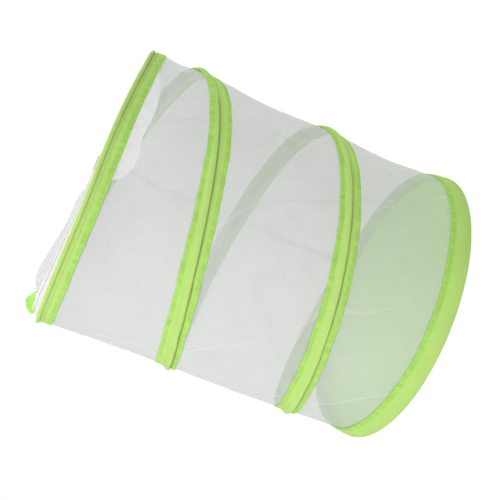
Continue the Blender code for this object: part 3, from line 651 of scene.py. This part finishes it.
def thread_material(name, colour):
    """Spun polyester sewing thread: two strands twisted together, so it is ribbed aslant."""
    material, tree = new_material(name)
    twist_groove_shade = threads(tree, coordinates(tree, "Object"), 0.6 * MM, 0.8)
    # The thread is painted darker in the grooves between its twisted strands: painted shade
    tone = mix_colour(tree, twist_groove_shade, shaded(colour, 0.8), colour)
    output(tree, principled(tree, Base_Color=tone, Roughness=0.6, Sheen_Weight=0.2))
    return material


def seen_rays(tree):
    """1 for rays from the camera, off gloss and through glass, and 0 for the light on things."""
    path = add_node(tree, "ShaderNodeLightPath").outputs
    seen = maths(tree, "MAXIMUM", path["Is Camera Ray"], path["Is Glossy Ray"])
    return maths(tree, "MAXIMUM", seen, path["Is Transmission Ray"])


PAINTED = {}


def paint(name):
    """The material of that name, made once."""
    if name in PAINTED:
        return PAINTED[name]
    colours = bpy.context.scene.cage_paint
    tape = (colours.tape, colours.hem)
    zip_colours = (colours.zip, colours.zip)
    coil_hems = ((-6.6 * MM, -1), (6.6 * MM, 1))
    # The coil tape's crease at the foot of its rib and the top tape's fold under its roll get lines of
    # painted shade
    coil_crease_shades = ((COIL_CREASE, 0.9 * MM, 0.55, "rib"),)
    top_crease_shades = ((TOP_CREASE, 1.5 * MM, 0.55, "cloth"),)
    makers = {
        "knitted_gauze": (gauze_material, colours.gauze, 0.37, 0.35, 0.25),
        "lid_gauze": (gauze_material, linear("#D4D3D8"), 0.32, 0.35, 0.25),
        # Painted light: the top's gauze is whiter than the wall's, which gives the sagging top its white
        # glare
        "top_gauze": (gauze_material, linear("#F0F0F2"), 0.55, 0.5, 0.35),
        # Painted light: the seam's gauze is lighter than the wall's, which lifts the shade that falls on its
        # band
        "seam_gauze": (gauze_material, linear("#E9E9EC"), 0.17, 0.6, 0.2),
        "coil_tape": (woven_material, *tape, 0.9 * MM, 0.7, coil_hems, coil_crease_shades, 0.5),
        "top_tape": (woven_material, *tape, 0.9 * MM, 0.7, ((4.6 * MM, -1),), top_crease_shades, 0.5),
        "base_tape": (woven_material, *tape, 0.9 * MM, 0.7, ((5.0 * MM, -1),), (), 0.5),
        "base_taffeta": (woven_material, colours.base, colours.base, 0.8 * MM, 0.65, (), (), 0.2),
        "zip_tape": (woven_material, *zip_colours, 0.7 * MM, 0.75),
        "satin_ribbon": (woven_material, colours.ribbon, colours.ribbon, 0.5 * MM, 0.4),
        "spring_steel": (wire_material, linear("#C4C5C6"), 0.35),
        "tinned_steel": (wire_material, linear("#D6D6D8"), 0.30),
        "zip_nylon": (enamel_material, linear("#F1EEE6")),
        "enamelled_zinc": (enamel_material, linear("#ECECEA")),
        "green_thread": (thread_material, [c * 0.85 for c in colours.tape]),
        "white_thread": (thread_material, linear("#E8E8EA")),
    }
    maker, *values = makers[name]
    PAINTED[name] = maker(name, *values)
    return PAINTED[name]


STITCH_RADIUS = 0.28 * MM
LEG_ROWS = 19
SLACK_RINGS = 46
INNER_LEG = 4.0 * MM
COIL_CREASE = -1.9 * MM
TOP_ROLL = 1.95 * MM
TOP_CREASE = TOP_HIGH.z - TOP_LOW.z - 3.8 * MM


def stitch_shape(length):
    """One stitch: a thread that dips at both ends, as five rings of six points."""
    turn = circle(6)
    share = np.linspace(-1, 1, 5)
    size = STITCH_RADIUS * np.array([0.45, 0.9, 1.0, 0.9, 0.45])
    dip = -STITCH_RADIUS * 1.6 * share**4
    x = np.repeat(share * length / 2, 6)
    y = np.outer(size, np.cos(turn)).ravel()
    z = np.outer(size, np.sin(turn)).ravel() + np.repeat(dip, 6)
    faces = grid_faces(5, 6).tolist()
    faces += [[k * 6 + 5, k * 6 + 11, k * 6 + 6, k * 6] for k in range(4)]
    faces += [list(range(6))[::-1], list(range(24, 30))]
    return np.stack([x, y, z], axis=1), faces


def stitches(name, path, material, body, length=None, turn_over=1):
    """A row of stitches along a path, each lying on its surface."""
    length = length or bpy.context.scene.cage_shape.stitch
    path = np.asarray(path)
    run = run_along(path)
    middle = (np.arange(int(run[-1] / length)) + 0.5) * length
    at, front, back = (at_steps(path, run, middle + step) for step in (0, length / 4, -length / 4))
    along = unit(front - back)
    out = square_to(at * [1, 1, 0] * turn_over, along)
    template, faces = stitch_shape(length * 0.8)
    axes = np.stack([along, np.cross(out, along), out], axis=1)
    points = np.einsum("tk,nkj->ntj", template, axes) + at[:, None]
    faces = [tuple(c + k * len(template) for c in face) for k in range(len(at)) for face in faces]
    return finish_piece(mesh_object(name, points, faces), material, body)


def hoop_profile(height, low, up, roll, puff, start):
    """Section of the tape folded over a hoop, from its outer edge over the wire to its inner edge.

    Radius and height of a leg that lies on the wall, which meets the roll in a crease, of a round
    roll over the wire from its start angle, and of a short leg inside.
    """
    turn = np.linspace(start, math.pi - start, 25)
    roll_r = COIL_RADIUS + roll * np.cos(turn)
    roll_z = height + up * roll * (np.sin(turn) - 1)
    share = np.linspace(0, 1, LEG_ROWS)
    leg = np.abs(roll_z[0] - low) - 0.3 * MM
    outer_r = WALL_OUTER + 0.75 * MM + puff * smooth(share**0.8)
    inner_z = roll_z[-1] - up * np.linspace(0.25, 1, 5) * INNER_LEG
    inner_r = np.full(5, 2 * COIL_RADIUS - roll_r[0]) + 0.1 * MM
    radius = np.concatenate([outer_r, roll_r, inner_r])
    return radius, np.concatenate([low + up * share * leg, roll_z, inner_z])


def coil_under(angle, up):
    """Height of the coil's wire under a hoop's tape at each angle, and how far it is there, 0 to 1."""
    first = -6.0 if up < 0 else COIL_SWEEP_DEG - 354
    turn = first + np.mod(angle / DEG - COIL_START_DEG - first, 360)
    there = smooth((turn + 6) / 4) * smooth((COIL_SWEEP_DEG + 6 - turn) / 4)
    return (coil_height(turn) + rib_shift(turn))[:, None], there[:, None]


def hoop_tape(name, height, low, up, roll, puff, start, seed, body, node, material):
    """Tape round a hoop: its section turned about the axis, with puckers towards its sewn edge.

    It bulges over the end of the coil's wire, as a bell curve of the distance from the wire, and
    the top tape's edge reaches down there to the coil's own tape.
    """
    radius, z = hoop_profile(height, low, up, roll, puff, start)
    angle = circle(540)
    length = angle * HOOP_RADIUS
    girth = FULL_TURN * HOOP_RADIUS
    waves = [(girth / k, h) for k, h in ((38, 0.5), (61, 0.5), (97, 0.5), (143, 0.4))]
    gather = ripple(length, waves, seed)
    on_leg = np.arange(len(z)) < LEG_ROWS
    share = np.clip(np.arange(len(z)) / (LEG_ROWS - 1), 0, 1)
    near_edge = np.where(on_leg, np.sin(math.pi * np.clip(share + 0.12, 0, 1)), 0)
    bulge = np.maximum(TAPE_PUCKER * gather[:, None] * near_edge[None, :], -0.2 * MM)
    wander = TAPE_WANDER * ripple(length, [(girth / 5, 1), (girth / 13, 0.6)], seed + 1)
    lift = wander[:, None] * (1 - share)[None, :]
    wire, there = coil_under(angle, up)
    heights = z[None, :] + lift
    if up > 0:
        reach = TOP_TAPE_REACH * np.exp(-((wire - low + MM) / (4 * MM)) ** 2)
        heights = heights - reach * there * (1 - share)
    bump = COIL_BULGE * np.exp(-((heights - wire) / COIL_BULGE_WIDTH) ** 2) * there * on_leg
    points = settle(around(radius[None, :] + bulge + bump, angle[:, None], heights))
    section = run_along(np.stack([radius, z], axis=1))
    uv = map_grid(np.linspace(0, girth, len(angle) + 1), section)
    obj = sheet_object(name, points, uv, wrap=True, flip=up < 0)
    thicken(obj, 0.4 * MM, -1.0)
    finish_piece(obj, material, body, node, slot="green_tape")
    sewn = int(np.argmin(np.abs(np.abs(z[:LEG_ROWS] - low) - 1.8 * MM)))
    row = np.vstack([points[:, sewn], points[:1, sewn]])
    stitches(f"{name}_stitches", row, "green_thread", body)


def coil_section(across):
    """How far the coil's tape stands off the wall, for a place across it.

    A rib over the wire, steep on the side of the base and sloping on the side of the top, with
    a sharp crease at its steep foot, and two flanges that puff a little.
    """
    steep = np.clip(1 - ((across - RIB_TOP) / (2.5 * MM)) ** 2, 0, 1) ** 0.5
    slope = np.clip(1 - ((across - RIB_TOP) / (6.4 * MM)) ** 2, 0, 1) ** 1.3
    rib = RIB_HEIGHT * np.where(across < RIB_TOP, steep, slope)
    crease = 0.35 * MM * np.exp(-((across - COIL_CREASE) / (0.6 * MM)) ** 2)
    below = np.clip((-across - FLANGE_LOW) / (SLEEVE_WIDTH / 2 - FLANGE_LOW), 0, 1)
    above = np.clip((across - FLANGE_HIGH) / (SLEEVE_WIDTH / 2 - FLANGE_HIGH), 0, 1)
    puff = 1.1 * MM * np.sin(math.pi * below**0.8) + 0.5 * MM * np.sin(math.pi * above)
    return rib + puff - crease


def flatten(obj):
    """Give a piece a mesh of its own."""
    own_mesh(obj)


class CAGE_OT_stage(bpy.types.Operator):
    """Set up the camera, the lamps, the white surroundings and a pale floor"""

    bl_idname = "cage.stage"
    bl_label = "Stage"

    def execute(self, context):
        scene = context.scene
        scene.view_settings.view_transform = "Standard"
        camera_data = bpy.data.cameras.new("camera")
        camera_data.lens = CAMERA_LENS
        camera_data.sensor_width = SENSOR_WIDTH
        camera_data.clip_start = 0.05
        camera = in_scene("camera", camera_data)
        right, down, forward = (np.array(v) for v in (CAMERA_RIGHT, CAMERA_DOWN, CAMERA_FORWARD))
        turn = Matrix(np.stack([right, -down, -forward], axis=1)).to_4x4()
        camera.matrix_world = Matrix.Translation(CAMERA_PLACE) @ turn
        scene.camera = camera
        self.surroundings(scene)
        self.floor()
        self.lamp("key", (-1.0, -0.9, 0.45), 1.2, 11.5)
        self.lamp("top", (0.10, 0.05, 1.25), 0.6, 5.5)
        return {"FINISHED"}

    def surroundings(self, scene):
        """White to the camera, to gloss and through glass, and a plain level for the light."""
        world = bpy.data.worlds.new("studio")
        world.use_nodes = True
        scene.world = world
        tree = world.node_tree
        tree.nodes.clear()
        level = remap(tree, seen_rays(tree), 0.0, 1.0, 0.92, 1.0)
        light = add_node(tree, "ShaderNodeBackground", {"Color": (1, 1, 1, 1), "Strength": level})
        add_node(tree, "ShaderNodeOutputWorld", {"Surface": light.outputs[0]})

    def floor(self):
        """A pale floor that stays white to the camera and still takes a soft shadow."""
        bpy.ops.mesh.primitive_plane_add(size=12.0, location=(0, 0, -0.0004))
        plane = bpy.context.object
        plane.name = "floor"
        material, tree = new_material("white_paper")
        share = maths(tree, "MULTIPLY", seen_rays(tree), 0.75)
        paper = add_node(tree, "ShaderNodeBsdfDiffuse", {"Color": (0.85, 0.85, 0.85, 1)}).outputs[0]
        white = add_node(tree, "ShaderNodeEmission", {"Color": (1, 1, 1, 1), "Strength": 1.12}).outputs[0]
        output(tree, mix_shader(tree, share, paper, white))
        plane.data.materials.append(material)

    def lamp(self, name, place, size, power):
        """A square soft lamp that looks at the middle of the cage."""
        data = bpy.data.lights.new(name, "AREA")
        data.size = size
        data.energy = power
        lamp = in_scene(name, data)
        lamp.location = place
        target = Vector((0, 0, TOP_HIGH.z / 2))
        lamp.rotation_euler = (target - lamp.location).to_track_quat("-Z", "Y").to_euler()


class CAGE_OT_wires(bpy.types.Operator):
    """Set the two hoops, the coil and their metal fittings inside the tape"""

    bl_idname = "cage.wires"
    bl_label = "Wires"

    def execute(self, context):
        angle = circle(240)
        for end in ("base", "top"):
            low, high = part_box(f"{end}_ring_wire")
            height = (low.z + high.z) / 2 if end == "base" else TOP_HIGH.z - TOP_ROLL
            path = settle(around(COIL_RADIUS, angle, height))
            hoop = tube(f"{end}_hoop_wire", path, WIRE_RADIUS, wrap=True)
            finish_piece(hoop, "spring_steel", end, f"{end}_ring_wire", slot="spring_steel")
            # The ferrule is a short sleeve crimped over the wire's two ends
            low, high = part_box(f"{end}_ring_ferrule")
            middle = math.atan2(low.y + high.y, low.x + high.x)
            half = max(high.x - low.x, high.y - low.y) / 2 / COIL_RADIUS
            path = settle(around(COIL_RADIUS, np.linspace(middle - half, middle + half, 12), height))
            ferrule = tube(f"{end}_hoop_ferrule", path, FERRULE_RADIUS, sides=16)
            finish_piece(ferrule, "tinned_steel", end, f"{end}_ring_ferrule", slot="tinned_steel")
            settled_copy(f"helix_cap_{end}", f"coil_cap_{end}", "tinned_steel", "tinned_steel")
        turn = np.linspace(0, COIL_SWEEP_DEG, 700)
        height = coil_height(turn) + rib_shift(turn)
        path = settle(around(COIL_RADIUS, (COIL_START_DEG + turn) * DEG, height))
        coil = tube("coil_wire", path, WIRE_RADIUS)
        finish_piece(coil, "spring_steel", "base", "helix_wire", slot="spring_steel")
        flatten(coil)
        return {"FINISHED"}


class CAGE_OT_wall(bpy.types.Operator):
    """Make the gauze wall and its lengthwise seam"""

    bl_idname = "cage.wall"
    bl_label = "Wall"

    def execute(self, context):
        angle = circle(300)[:, None]
        height = np.linspace(WALL_LOW.z, WALL_HIGH.z, 112)[None, :]
        angles, heights = np.broadcast_arrays(angle, height)
        points = settle(around(wall_radius(angles, heights), angles, heights))
        uv = map_grid(np.linspace(0, FULL_TURN * WALL_RADIUS, 301), height[0])
        wall = sheet_object("wall_gauze", points, uv, wrap=True)
        thicken(wall, GAUZE_THICKNESS)
        finish_piece(wall, "knitted_gauze", "base", "wall_mesh", slot="white_mesh")
        flatten(wall)
        seam = self.seam()
        return {"FINISHED"}

    def seam(self):
        """The wall's two edges lapped and sewn: a narrow band inside it, with a row of stitches."""
        low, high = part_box("side_seam")
        height = np.linspace(low.z, high.z, 150)
        side = np.linspace(-1, 1, 9)
        bow = 0.8 * MM * ripple(height, [(170 * MM, 1.0), (60 * MM, 0.5)], 21)
        across = side[None, :] * SEAM_WIDTH / 2 + bow[:, None]
        angle = SEAM_DEG * DEG + across / WALL_RADIUS
        heights = np.broadcast_to(height[:, None], angle.shape)
        radius = wall_radius(angle, heights) - 0.55 * MM - 0.25 * MM * (1 - side[None, :] ** 2)
        uv = np.stack([across, heights], axis=-1)
        band = sheet_object("wall_seam", settle(around(radius, angle, heights)), uv, flip=True)
        thicken(band, GAUZE_THICKNESS)
        finish_piece(band, "seam_gauze", "base", "side_seam", slot="white_mesh")
        flatten(band)
        row_angle = np.full_like(height, SEAM_DEG * DEG) + bow / WALL_RADIUS
        row_r = wall_radius(row_angle, height) - 1.05 * MM
        sewn = stitches("wall_seam_stitches", settle(around(row_r, row_angle, height)),
                        "white_thread", "base", turn_over=-1)
        flatten(sewn)
        return band


class CAGE_OT_base(bpy.types.Operator):
    """Make the base hoop's tape and the green base cloth"""

    bl_idname = "cage.base"
    bl_label = "Base"

    def execute(self, context):
        hoop_tape("base_hoop_tape", 0.0, BASE_HIGH.z, -1, ROLL_RADIUS + 0.2 * MM, 3.2 * MM, -8 * DEG, 31,
                  "base", "base_binding", "base_tape")
        # The cloth lies flat, and turns up beside the hoop to be sewn in
        rim = BASE_CLOTH_HIGH.x + 0.1 * MM
        level = BASE_CLOTH_HIGH.z - GAUZE_THICKNESS
        radius = np.concatenate([np.linspace(0, 1, 70) * (rim - 7 * MM), np.linspace(rim - 6 * MM, rim, 8)])
        angle = circle(300)
        rise = 6.2 * MM * smooth((radius - rim + 6 * MM) / (6 * MM)) ** 1.6
        girth = FULL_TURN * rim
        slack = ripple(angle * rim, [(girth / 9, 1.0), (girth / 17, 0.7), (girth / 31, 0.4)], 33)
        pull = smooth(radius / rim) * (1 - smooth((radius - rim + 14 * MM) / (10 * MM)))
        height = level + rise[None, :] + 0.7 * MM * (slack[:, None] + 1.5) * pull[None, :] / 2
        points = settle(around(radius[None, 1:], angle[:, None], height[:, 1:]))
        middle = settle(np.array([[0, 0, level]]))
        cloth = disc("base_cloth", middle[0], points)
        thicken(cloth, GAUZE_THICKNESS)
        finish_piece(cloth, "base_taffeta", "base", "base_panel", slot="green_cloth")
        return {"FINISHED"}


def disc(name, middle, points):
    """A sheet from its middle out: points is a grid of spokes by rings.

    Its map, in metres, is its plan, with each spoke at its true length.
    """
    spokes, rings = points.shape[:2]
    quads = np.roll(grid_faces(spokes, rings, wrap=True)[:, ::-1], 1, axis=1) + 1
    first = np.arange(spokes) * rings + 1
    faces = quads.tolist() + np.stack([0 * first, first, np.roll(first, -1)], axis=1).tolist()
    spoke = np.concatenate([np.broadcast_to(middle, (spokes, 1, 3)), points], axis=1)
    run = np.cumsum(np.linalg.norm(np.diff(spoke, axis=1), axis=2), axis=1)
    plan = middle[:2] + unit(points[:, -1, :2] - middle[:2])[:, None] * run[..., None]
    plan = np.vstack([middle[None, :2], plan.reshape(-1, 2)])
    obj = mesh_object(name, np.vstack([middle[None], points.reshape(-1, 3)]), faces)
    corners = np.zeros(len(obj.data.loops), dtype=int)
    obj.data.loops.foreach_get("vertex_index", corners)
    obj.data.uv_layers.new(name="cloth").data.foreach_set("uv", plan[corners].ravel())
    return obj


class CAGE_OT_coil(bpy.types.Operator):
    """Sew the green tape over the coil"""

    bl_idname = "cage.coil"
    bl_label = "Coil tape"

    def execute(self, context):
        # Tape sewn over the coil: its section swept along the coil, cut level at the two hoops
        low = SLEEVE_LOW.z
        high = SLEEVE_HIGH.z
        half = SLEEVE_WIDTH / 2
        least = 1.5 * MM
        turn = np.linspace(0, COIL_SWEEP_DEG, 4000)
        height = coil_height(turn)
        kept = turn[(height + half > low + least) & (height - half < high - least)]
        turn = np.linspace(kept[0], kept[-1], 1000)
        height = coil_height(turn)
        start = np.maximum(-half, low - height)
        end = np.minimum(half, high - height)
        share = np.linspace(0, 1, 41)
        across = start[:, None] + (end - start)[:, None] * share[None, :]
        length = turn * DEG * COIL_RADIUS
        sides = np.abs(across) / half
        gather = [ripple(length, [(26 * MM, 0.3), (15.5 * MM, 0.45), (9.7 * MM, 0.5), (6.9 * MM, 0.4)], s)
                  for s in (11, 12)]
        puckers = np.where(across > 0, gather[0][:, None], gather[1][:, None])
        puckers = COIL_TAPE_PUCKER * puckers * smooth((sides - 0.40) / 0.5)
        wander = COIL_TAPE_WANDER * ripple(length, [(210 * MM, 0.6), (74 * MM, 0.5), (33 * MM, 0.4)], 13)
        radius = WALL_OUTER + 0.45 * MM + coil_section(across - rib_shift(turn)[:, None]) + puckers
        angle = (COIL_START_DEG + turn) * DEG
        z = np.clip(height[:, None] + across + wander[:, None] * (sides > 0.3), low, high)
        points = settle(around(radius, angle[:, None], z))
        uv = map_grid(length, across)
        rib = uv - np.stack([0 * turn, rib_shift(turn)], axis=-1)[:, None]
        obj = sheet_object("coil_tape", points, uv, rib=rib)
        thicken(obj, 0.35 * MM, -1.0)
        finish_piece(obj, "coil_tape", "base", "helix_sleeve", slot="green_tape")
        flatten(obj)
        for tag, column in (("upper", 37), ("lower", 3)):
            flatten(stitches(f"coil_tape_stitches_{tag}", points[:, column], "green_thread", "base"))
        return {"FINISHED"}


def half_moon(radius, angle, hinge_x):
    """An arc closed by the straight line of the hinge, as 360 points at equal steps round it."""
    arc = around(radius, angle, 0)[:, :2]
    hinge = np.stack([np.full(60, hinge_x), np.linspace(arc[-1, 1], arc[0, 1], 62)[1:-1]], axis=1)
    loop = np.vstack([arc, hinge, arc[:1]])
    run = run_along(loop)
    return at_steps(loop, run, np.linspace(0, run[-1], 360, endpoint=False))


def slack_sheet(name, outline, centre, height, rise):
    """A slack sheet inside an outline: spokes from its centre, each at a height for its share out."""
    share = np.linspace(0, 1, SLACK_RINGS + 1)[1:] ** 0.62
    xy = centre + share[None, :, None] * (outline[:, None] - centre)
    z = height(xy, np.broadcast_to(share[None, :], xy.shape[:2]))
    middle_z = height(np.array(centre)[None, None], np.zeros((1, 1)))[0, 0]
    points = settle(rise(np.concatenate([xy, z[..., None]], axis=-1)))
    middle = settle(rise(np.array([[centre[0], centre[1], middle_z]])))[0]
    obj = disc(name, middle, points)
    thicken(obj, GAUZE_THICKNESS)
    return obj


class CAGE_OT_top(bpy.types.Operator):
    """Make the top hoop's tape and the fixed half of the top, which sags"""

    bl_idname = "cage.top"
    bl_label = "Top"

    def execute(self, context):
        hoop_tape("top_hoop_tape", TOP_HIGH.z, TOP_LOW.z, 1, TOP_ROLL, -0.3 * MM, -62 * DEG, 41,
                  "top", "top_binding", "top_tape")
        shape = context.scene.cage_shape
        rim = PANEL_HIGH.x
        lid_radius = -LID_LOW.x
        angle = np.linspace(-math.pi / 2, math.pi / 2, 400)
        limit = math.acos(HINGE_X / lid_radius)
        notch = 80.5 * DEG
        radius = lid_radius + (rim - lid_radius) * (1 - smooth((np.abs(angle) - notch) / (1.5 * DEG)))
        inside = np.abs(angle) < limit
        outline = half_moon(radius[inside], angle[inside], HINGE_X)
        outline[:, 0] = np.maximum(outline[:, 0], HINGE_X + HINGE_LAP)
        centre = np.array([HINGE_X + (rim - HINGE_X) * 0.40, 0.0])
        edge_z = PANEL_HIGH.z
        rim_z = TOP_HIGH.z - 1.5 * MM

        def height(xy, share):
            """Edge height, less the sag, with folds that run out to the rim."""
            out = np.hypot(xy[..., 0], xy[..., 1])
            drop = np.clip((out - lid_radius) / (rim - lid_radius), 0, 1)
            level = edge_z + drop * (rim_z - edge_z) - 0.35 * MM
            full = 3.4 + 4.0 * smooth((centre[0] + 5 * MM - xy[..., 0]) / (30 * MM))
            hang = shape.sag * (1 - share**full)
            bearing = np.arctan2(xy[..., 1], xy[..., 0] - centre[0])
            folds = ripple(bearing * rim, [(150 * MM, 1.0), (88 * MM, 0.8), (52 * MM, 0.5)], 43)
            return level - hang + PANEL_FOLD * folds * np.sin(math.pi * share**1.5)

        panel = slack_sheet("top_panel_gauze", outline, centre, height, np.array)
        finish_piece(panel, "top_gauze", "top", "top_panel", slot="white_mesh")
        return {"FINISHED"}


class CAGE_OT_lid(bpy.types.Operator):
    """Make the half-moon lid, which stands up slack over the hoop"""

    bl_idname = "cage.lid"
    bl_label = "Lid"

    def execute(self, context):
        shape = context.scene.cage_shape
        radius = -LID_LOW.x
        hinge_x = HINGE_X - HINGE_LAP
        limit = math.acos(hinge_x / radius)
        outline = half_moon(radius, np.linspace(limit, FULL_TURN - limit, 300), hinge_x)
        outline[:, 0] = np.minimum(outline[:, 0], hinge_x)
        centre = np.array([-0.47 * radius, 0.0])
        edge_z = LID_LOW.z + 0.3 * MM

        def height(xy, _share):
            """Edge height and the crown, level for a hem round the arc, with soft folds."""
            out = np.hypot(xy[..., 0], xy[..., 1])
            hem = 1 - (1 - np.clip((radius - 5.4 * MM - out) / (30 * MM), 0, 1)) ** 2.4
            near = smooth((hinge_x - 1.0 * MM - xy[..., 0]) / (25 * MM))
            far = smooth((-xy[..., 0] - 20 * MM) / (85 * MM))
            back = 0.42 * near + 0.58 * far
            bearing = np.arctan2(xy[..., 1], xy[..., 0])
            folds = ripple(bearing * radius, [(150 * MM, 1.0), (97 * MM, 0.8), (58 * MM, 0.4)], 53)
            return edge_z + (shape.crown + LID_FOLD * folds * smooth(out / radius)) * hem * back

        lid = slack_sheet("lid_gauze", outline, centre, height, swell)
        finish_piece(lid, "lid_gauze", "lid", "lid_flap", slot="white_mesh")
        return {"FINISHED"}


class CAGE_OT_zip(bpy.types.Operator):
    """Make the zip: two tapes, two nylon coils, stops, slider and pull tab"""

    bl_idname = "cage.zip"
    bl_label = "Zip"

    # The CAD node, the piece's name, its material, its slot and how far its edges are rounded
    PIECES = (
        ("zip_tape_rim", "zip_tape_hoop", "zip_tape", "zip_tape", 0.0),
        ("zip_tape_flap", "zip_tape_lid", "zip_tape", "zip_tape", 0.0),
        ("zip_tail_closed_end", "zip_end_tape_closed", "zip_tape", "zip_tape", 0.15 * MM),
        ("zip_stop_closed_end", "zip_end_stop_closed", "enamelled_zinc", "zip_metal", 0.25 * MM),
        ("zip_tail_open_end", "zip_end_tape_open", "zip_tape", "zip_tape", 0.15 * MM),
        ("zip_stop_open_end", "zip_end_stop_open", "enamelled_zinc", "zip_metal", 0.25 * MM),
        ("zip_slider", "zip_slider_body", "enamelled_zinc", "zip_metal", 0.2 * MM),
        ("zip_pull", "zip_pull_tab", "enamelled_zinc", "zip_metal", 0.2 * MM),
    )

    def execute(self, context):
        self.row("zip_coil_rim", "zip_teeth_rim", 0.0, "top")
        self.row("zip_coil_lid", "zip_teeth_flap", 0.5, "lid")
        for piece in self.PIECES:
            settled_copy(*piece)
        return {"FINISHED"}

    def row(self, name, node, phase, body):
        """One nylon coil: loops round a small ellipse, a pitch apart, along the zip's arc."""
        low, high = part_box(node)
        width = 2.4 * MM
        pitch = 1.5 * MM
        strand = 0.3 * MM
        centre = high.y - width / 2
        start = math.acos(min(1, high.x / centre))
        sweep = FULL_TURN - 2 * start
        loops = int(sweep * centre / pitch)
        turn = np.linspace(0, loops * FULL_TURN, loops * 9)
        angle = start + sweep * turn / turn[-1]
        spin = turn + phase * FULL_TURN
        radius = centre + (width / 2 - strand) * np.cos(spin)
        z = (low.z + high.z) / 2 + ((high.z - low.z) / 2 - strand) * np.sin(spin)
        obj = tube(name, settle(swell(around(radius, angle, z))), strand, sides=5)
        finish_piece(obj, "zip_nylon", body, node, slot="zip_nylon")


class CAGE_OT_loop(bpy.types.Operator):
    """Make the ribbon loop on the top hoop"""

    bl_idname = "cage.loop"
    bl_label = "Ribbon loop"

    # Its course from foot to foot: degrees round the hoop, mm outside the wire, mm over the tape
    COURSE = ((149, 0, 0), (149, 5.5, 4.5), (149.8, 6, 11.5), (153.5, 3.5, 18.5), (159, 4.5, 16.5),
              (163.5, 6.5, 11), (165.5, 6.5, 4.5), (166, 0, 0))

    def execute(self, context):
        width = 10.0 * MM
        knots = np.array(self.COURSE)
        share = np.linspace(0, len(knots) - 1, 90)
        degrees, off, high = (np.interp(share, np.arange(len(knots)), column) for column in knots.T)
        path = around(COIL_RADIUS + off * MM, degrees * DEG, TOP_HIGH.z + high * MM)
        for _ in range(50):
            path[1:-1] = (path[:-2] + 2 * path[1:-1] + path[2:]) / 4
        heading = unit(np.gradient(path, axis=0))
        # Its far leg stands on edge, and it turns its flat side out along its near leg
        flat = smooth((share - 2.6) / 1.3)[:, None] * (1 - 0.6 * smooth((share - 5.4) / 1.4))[:, None]
        wide = np.array([-0.36, 0.18, 0.91]) * flat + np.array([-0.05, 1.0, -0.1]) * (1 - flat)
        wide = square_to(wide, heading)
        side = np.linspace(-0.5, 0.5, 9)
        cup = np.cross(heading, wide)
        points = path[:, None] + wide[:, None] * (side * width)[None, :, None]
        points = points + cup[:, None] * (0.5 * MM * (1 - 4 * side**2))[None, :, None]
        points[..., 2] = np.maximum(points[..., 2], TOP_HIGH.z + 0.25 * MM)
        obj = sheet_object("ribbon_loop", settle(points), map_grid(run_along(path), side * width))
        thicken(obj, 0.35 * MM)
        finish_piece(obj, "satin_ribbon", "loop", "hang_loop", slot="green_ribbon")
        return {"FINISHED"}


OPERATORS = (CAGE_OT_stage, CAGE_OT_wires, CAGE_OT_base, CAGE_OT_wall, CAGE_OT_coil, CAGE_OT_top,
             CAGE_OT_lid, CAGE_OT_zip, CAGE_OT_loop)


class CAGE_PT_panel(bpy.types.Panel):
    """Sizes, colours and pieces of the insect cage"""

    bl_idname = "CAGE_PT_panel"
    bl_label = "Insect Cage"
    bl_space_type = "VIEW_3D"
    bl_region_type = "UI"
    bl_category = "Insect Cage"

    def draw(self, context):
        for group in (context.scene.cage_shape, context.scene.cage_paint):
            for name in group.__annotations__:
                self.layout.prop(group, name)
        for operator in OPERATORS:
            self.layout.operator(operator.bl_idname)


CLASSES = (CageShape, CagePaint, *OPERATORS, CAGE_PT_panel)


def register():
    """Register the classes and hang the sizes and colours on the scene."""
    for each in CLASSES:
        bpy.utils.register_class(each)
    bpy.types.Scene.cage_shape = PointerProperty(type=CageShape)
    bpy.types.Scene.cage_paint = PointerProperty(type=CagePaint)


def unregister():
    """Take everything back out."""
    del bpy.types.Scene.cage_paint
    del bpy.types.Scene.cage_shape
    for each in reversed(CLASSES):
        bpy.utils.unregister_class(each)


def main():
    """Make every piece."""
    register()
    bpy.ops.cage.stage()
    bpy.ops.cage.wires()
    bpy.ops.cage.base()
    bpy.ops.cage.wall()
    bpy.ops.cage.coil()
    bpy.ops.cage.top()
    bpy.ops.cage.lid()
    bpy.ops.cage.zip()
    bpy.ops.cage.loop()


if __name__ == "__main__":
    main()
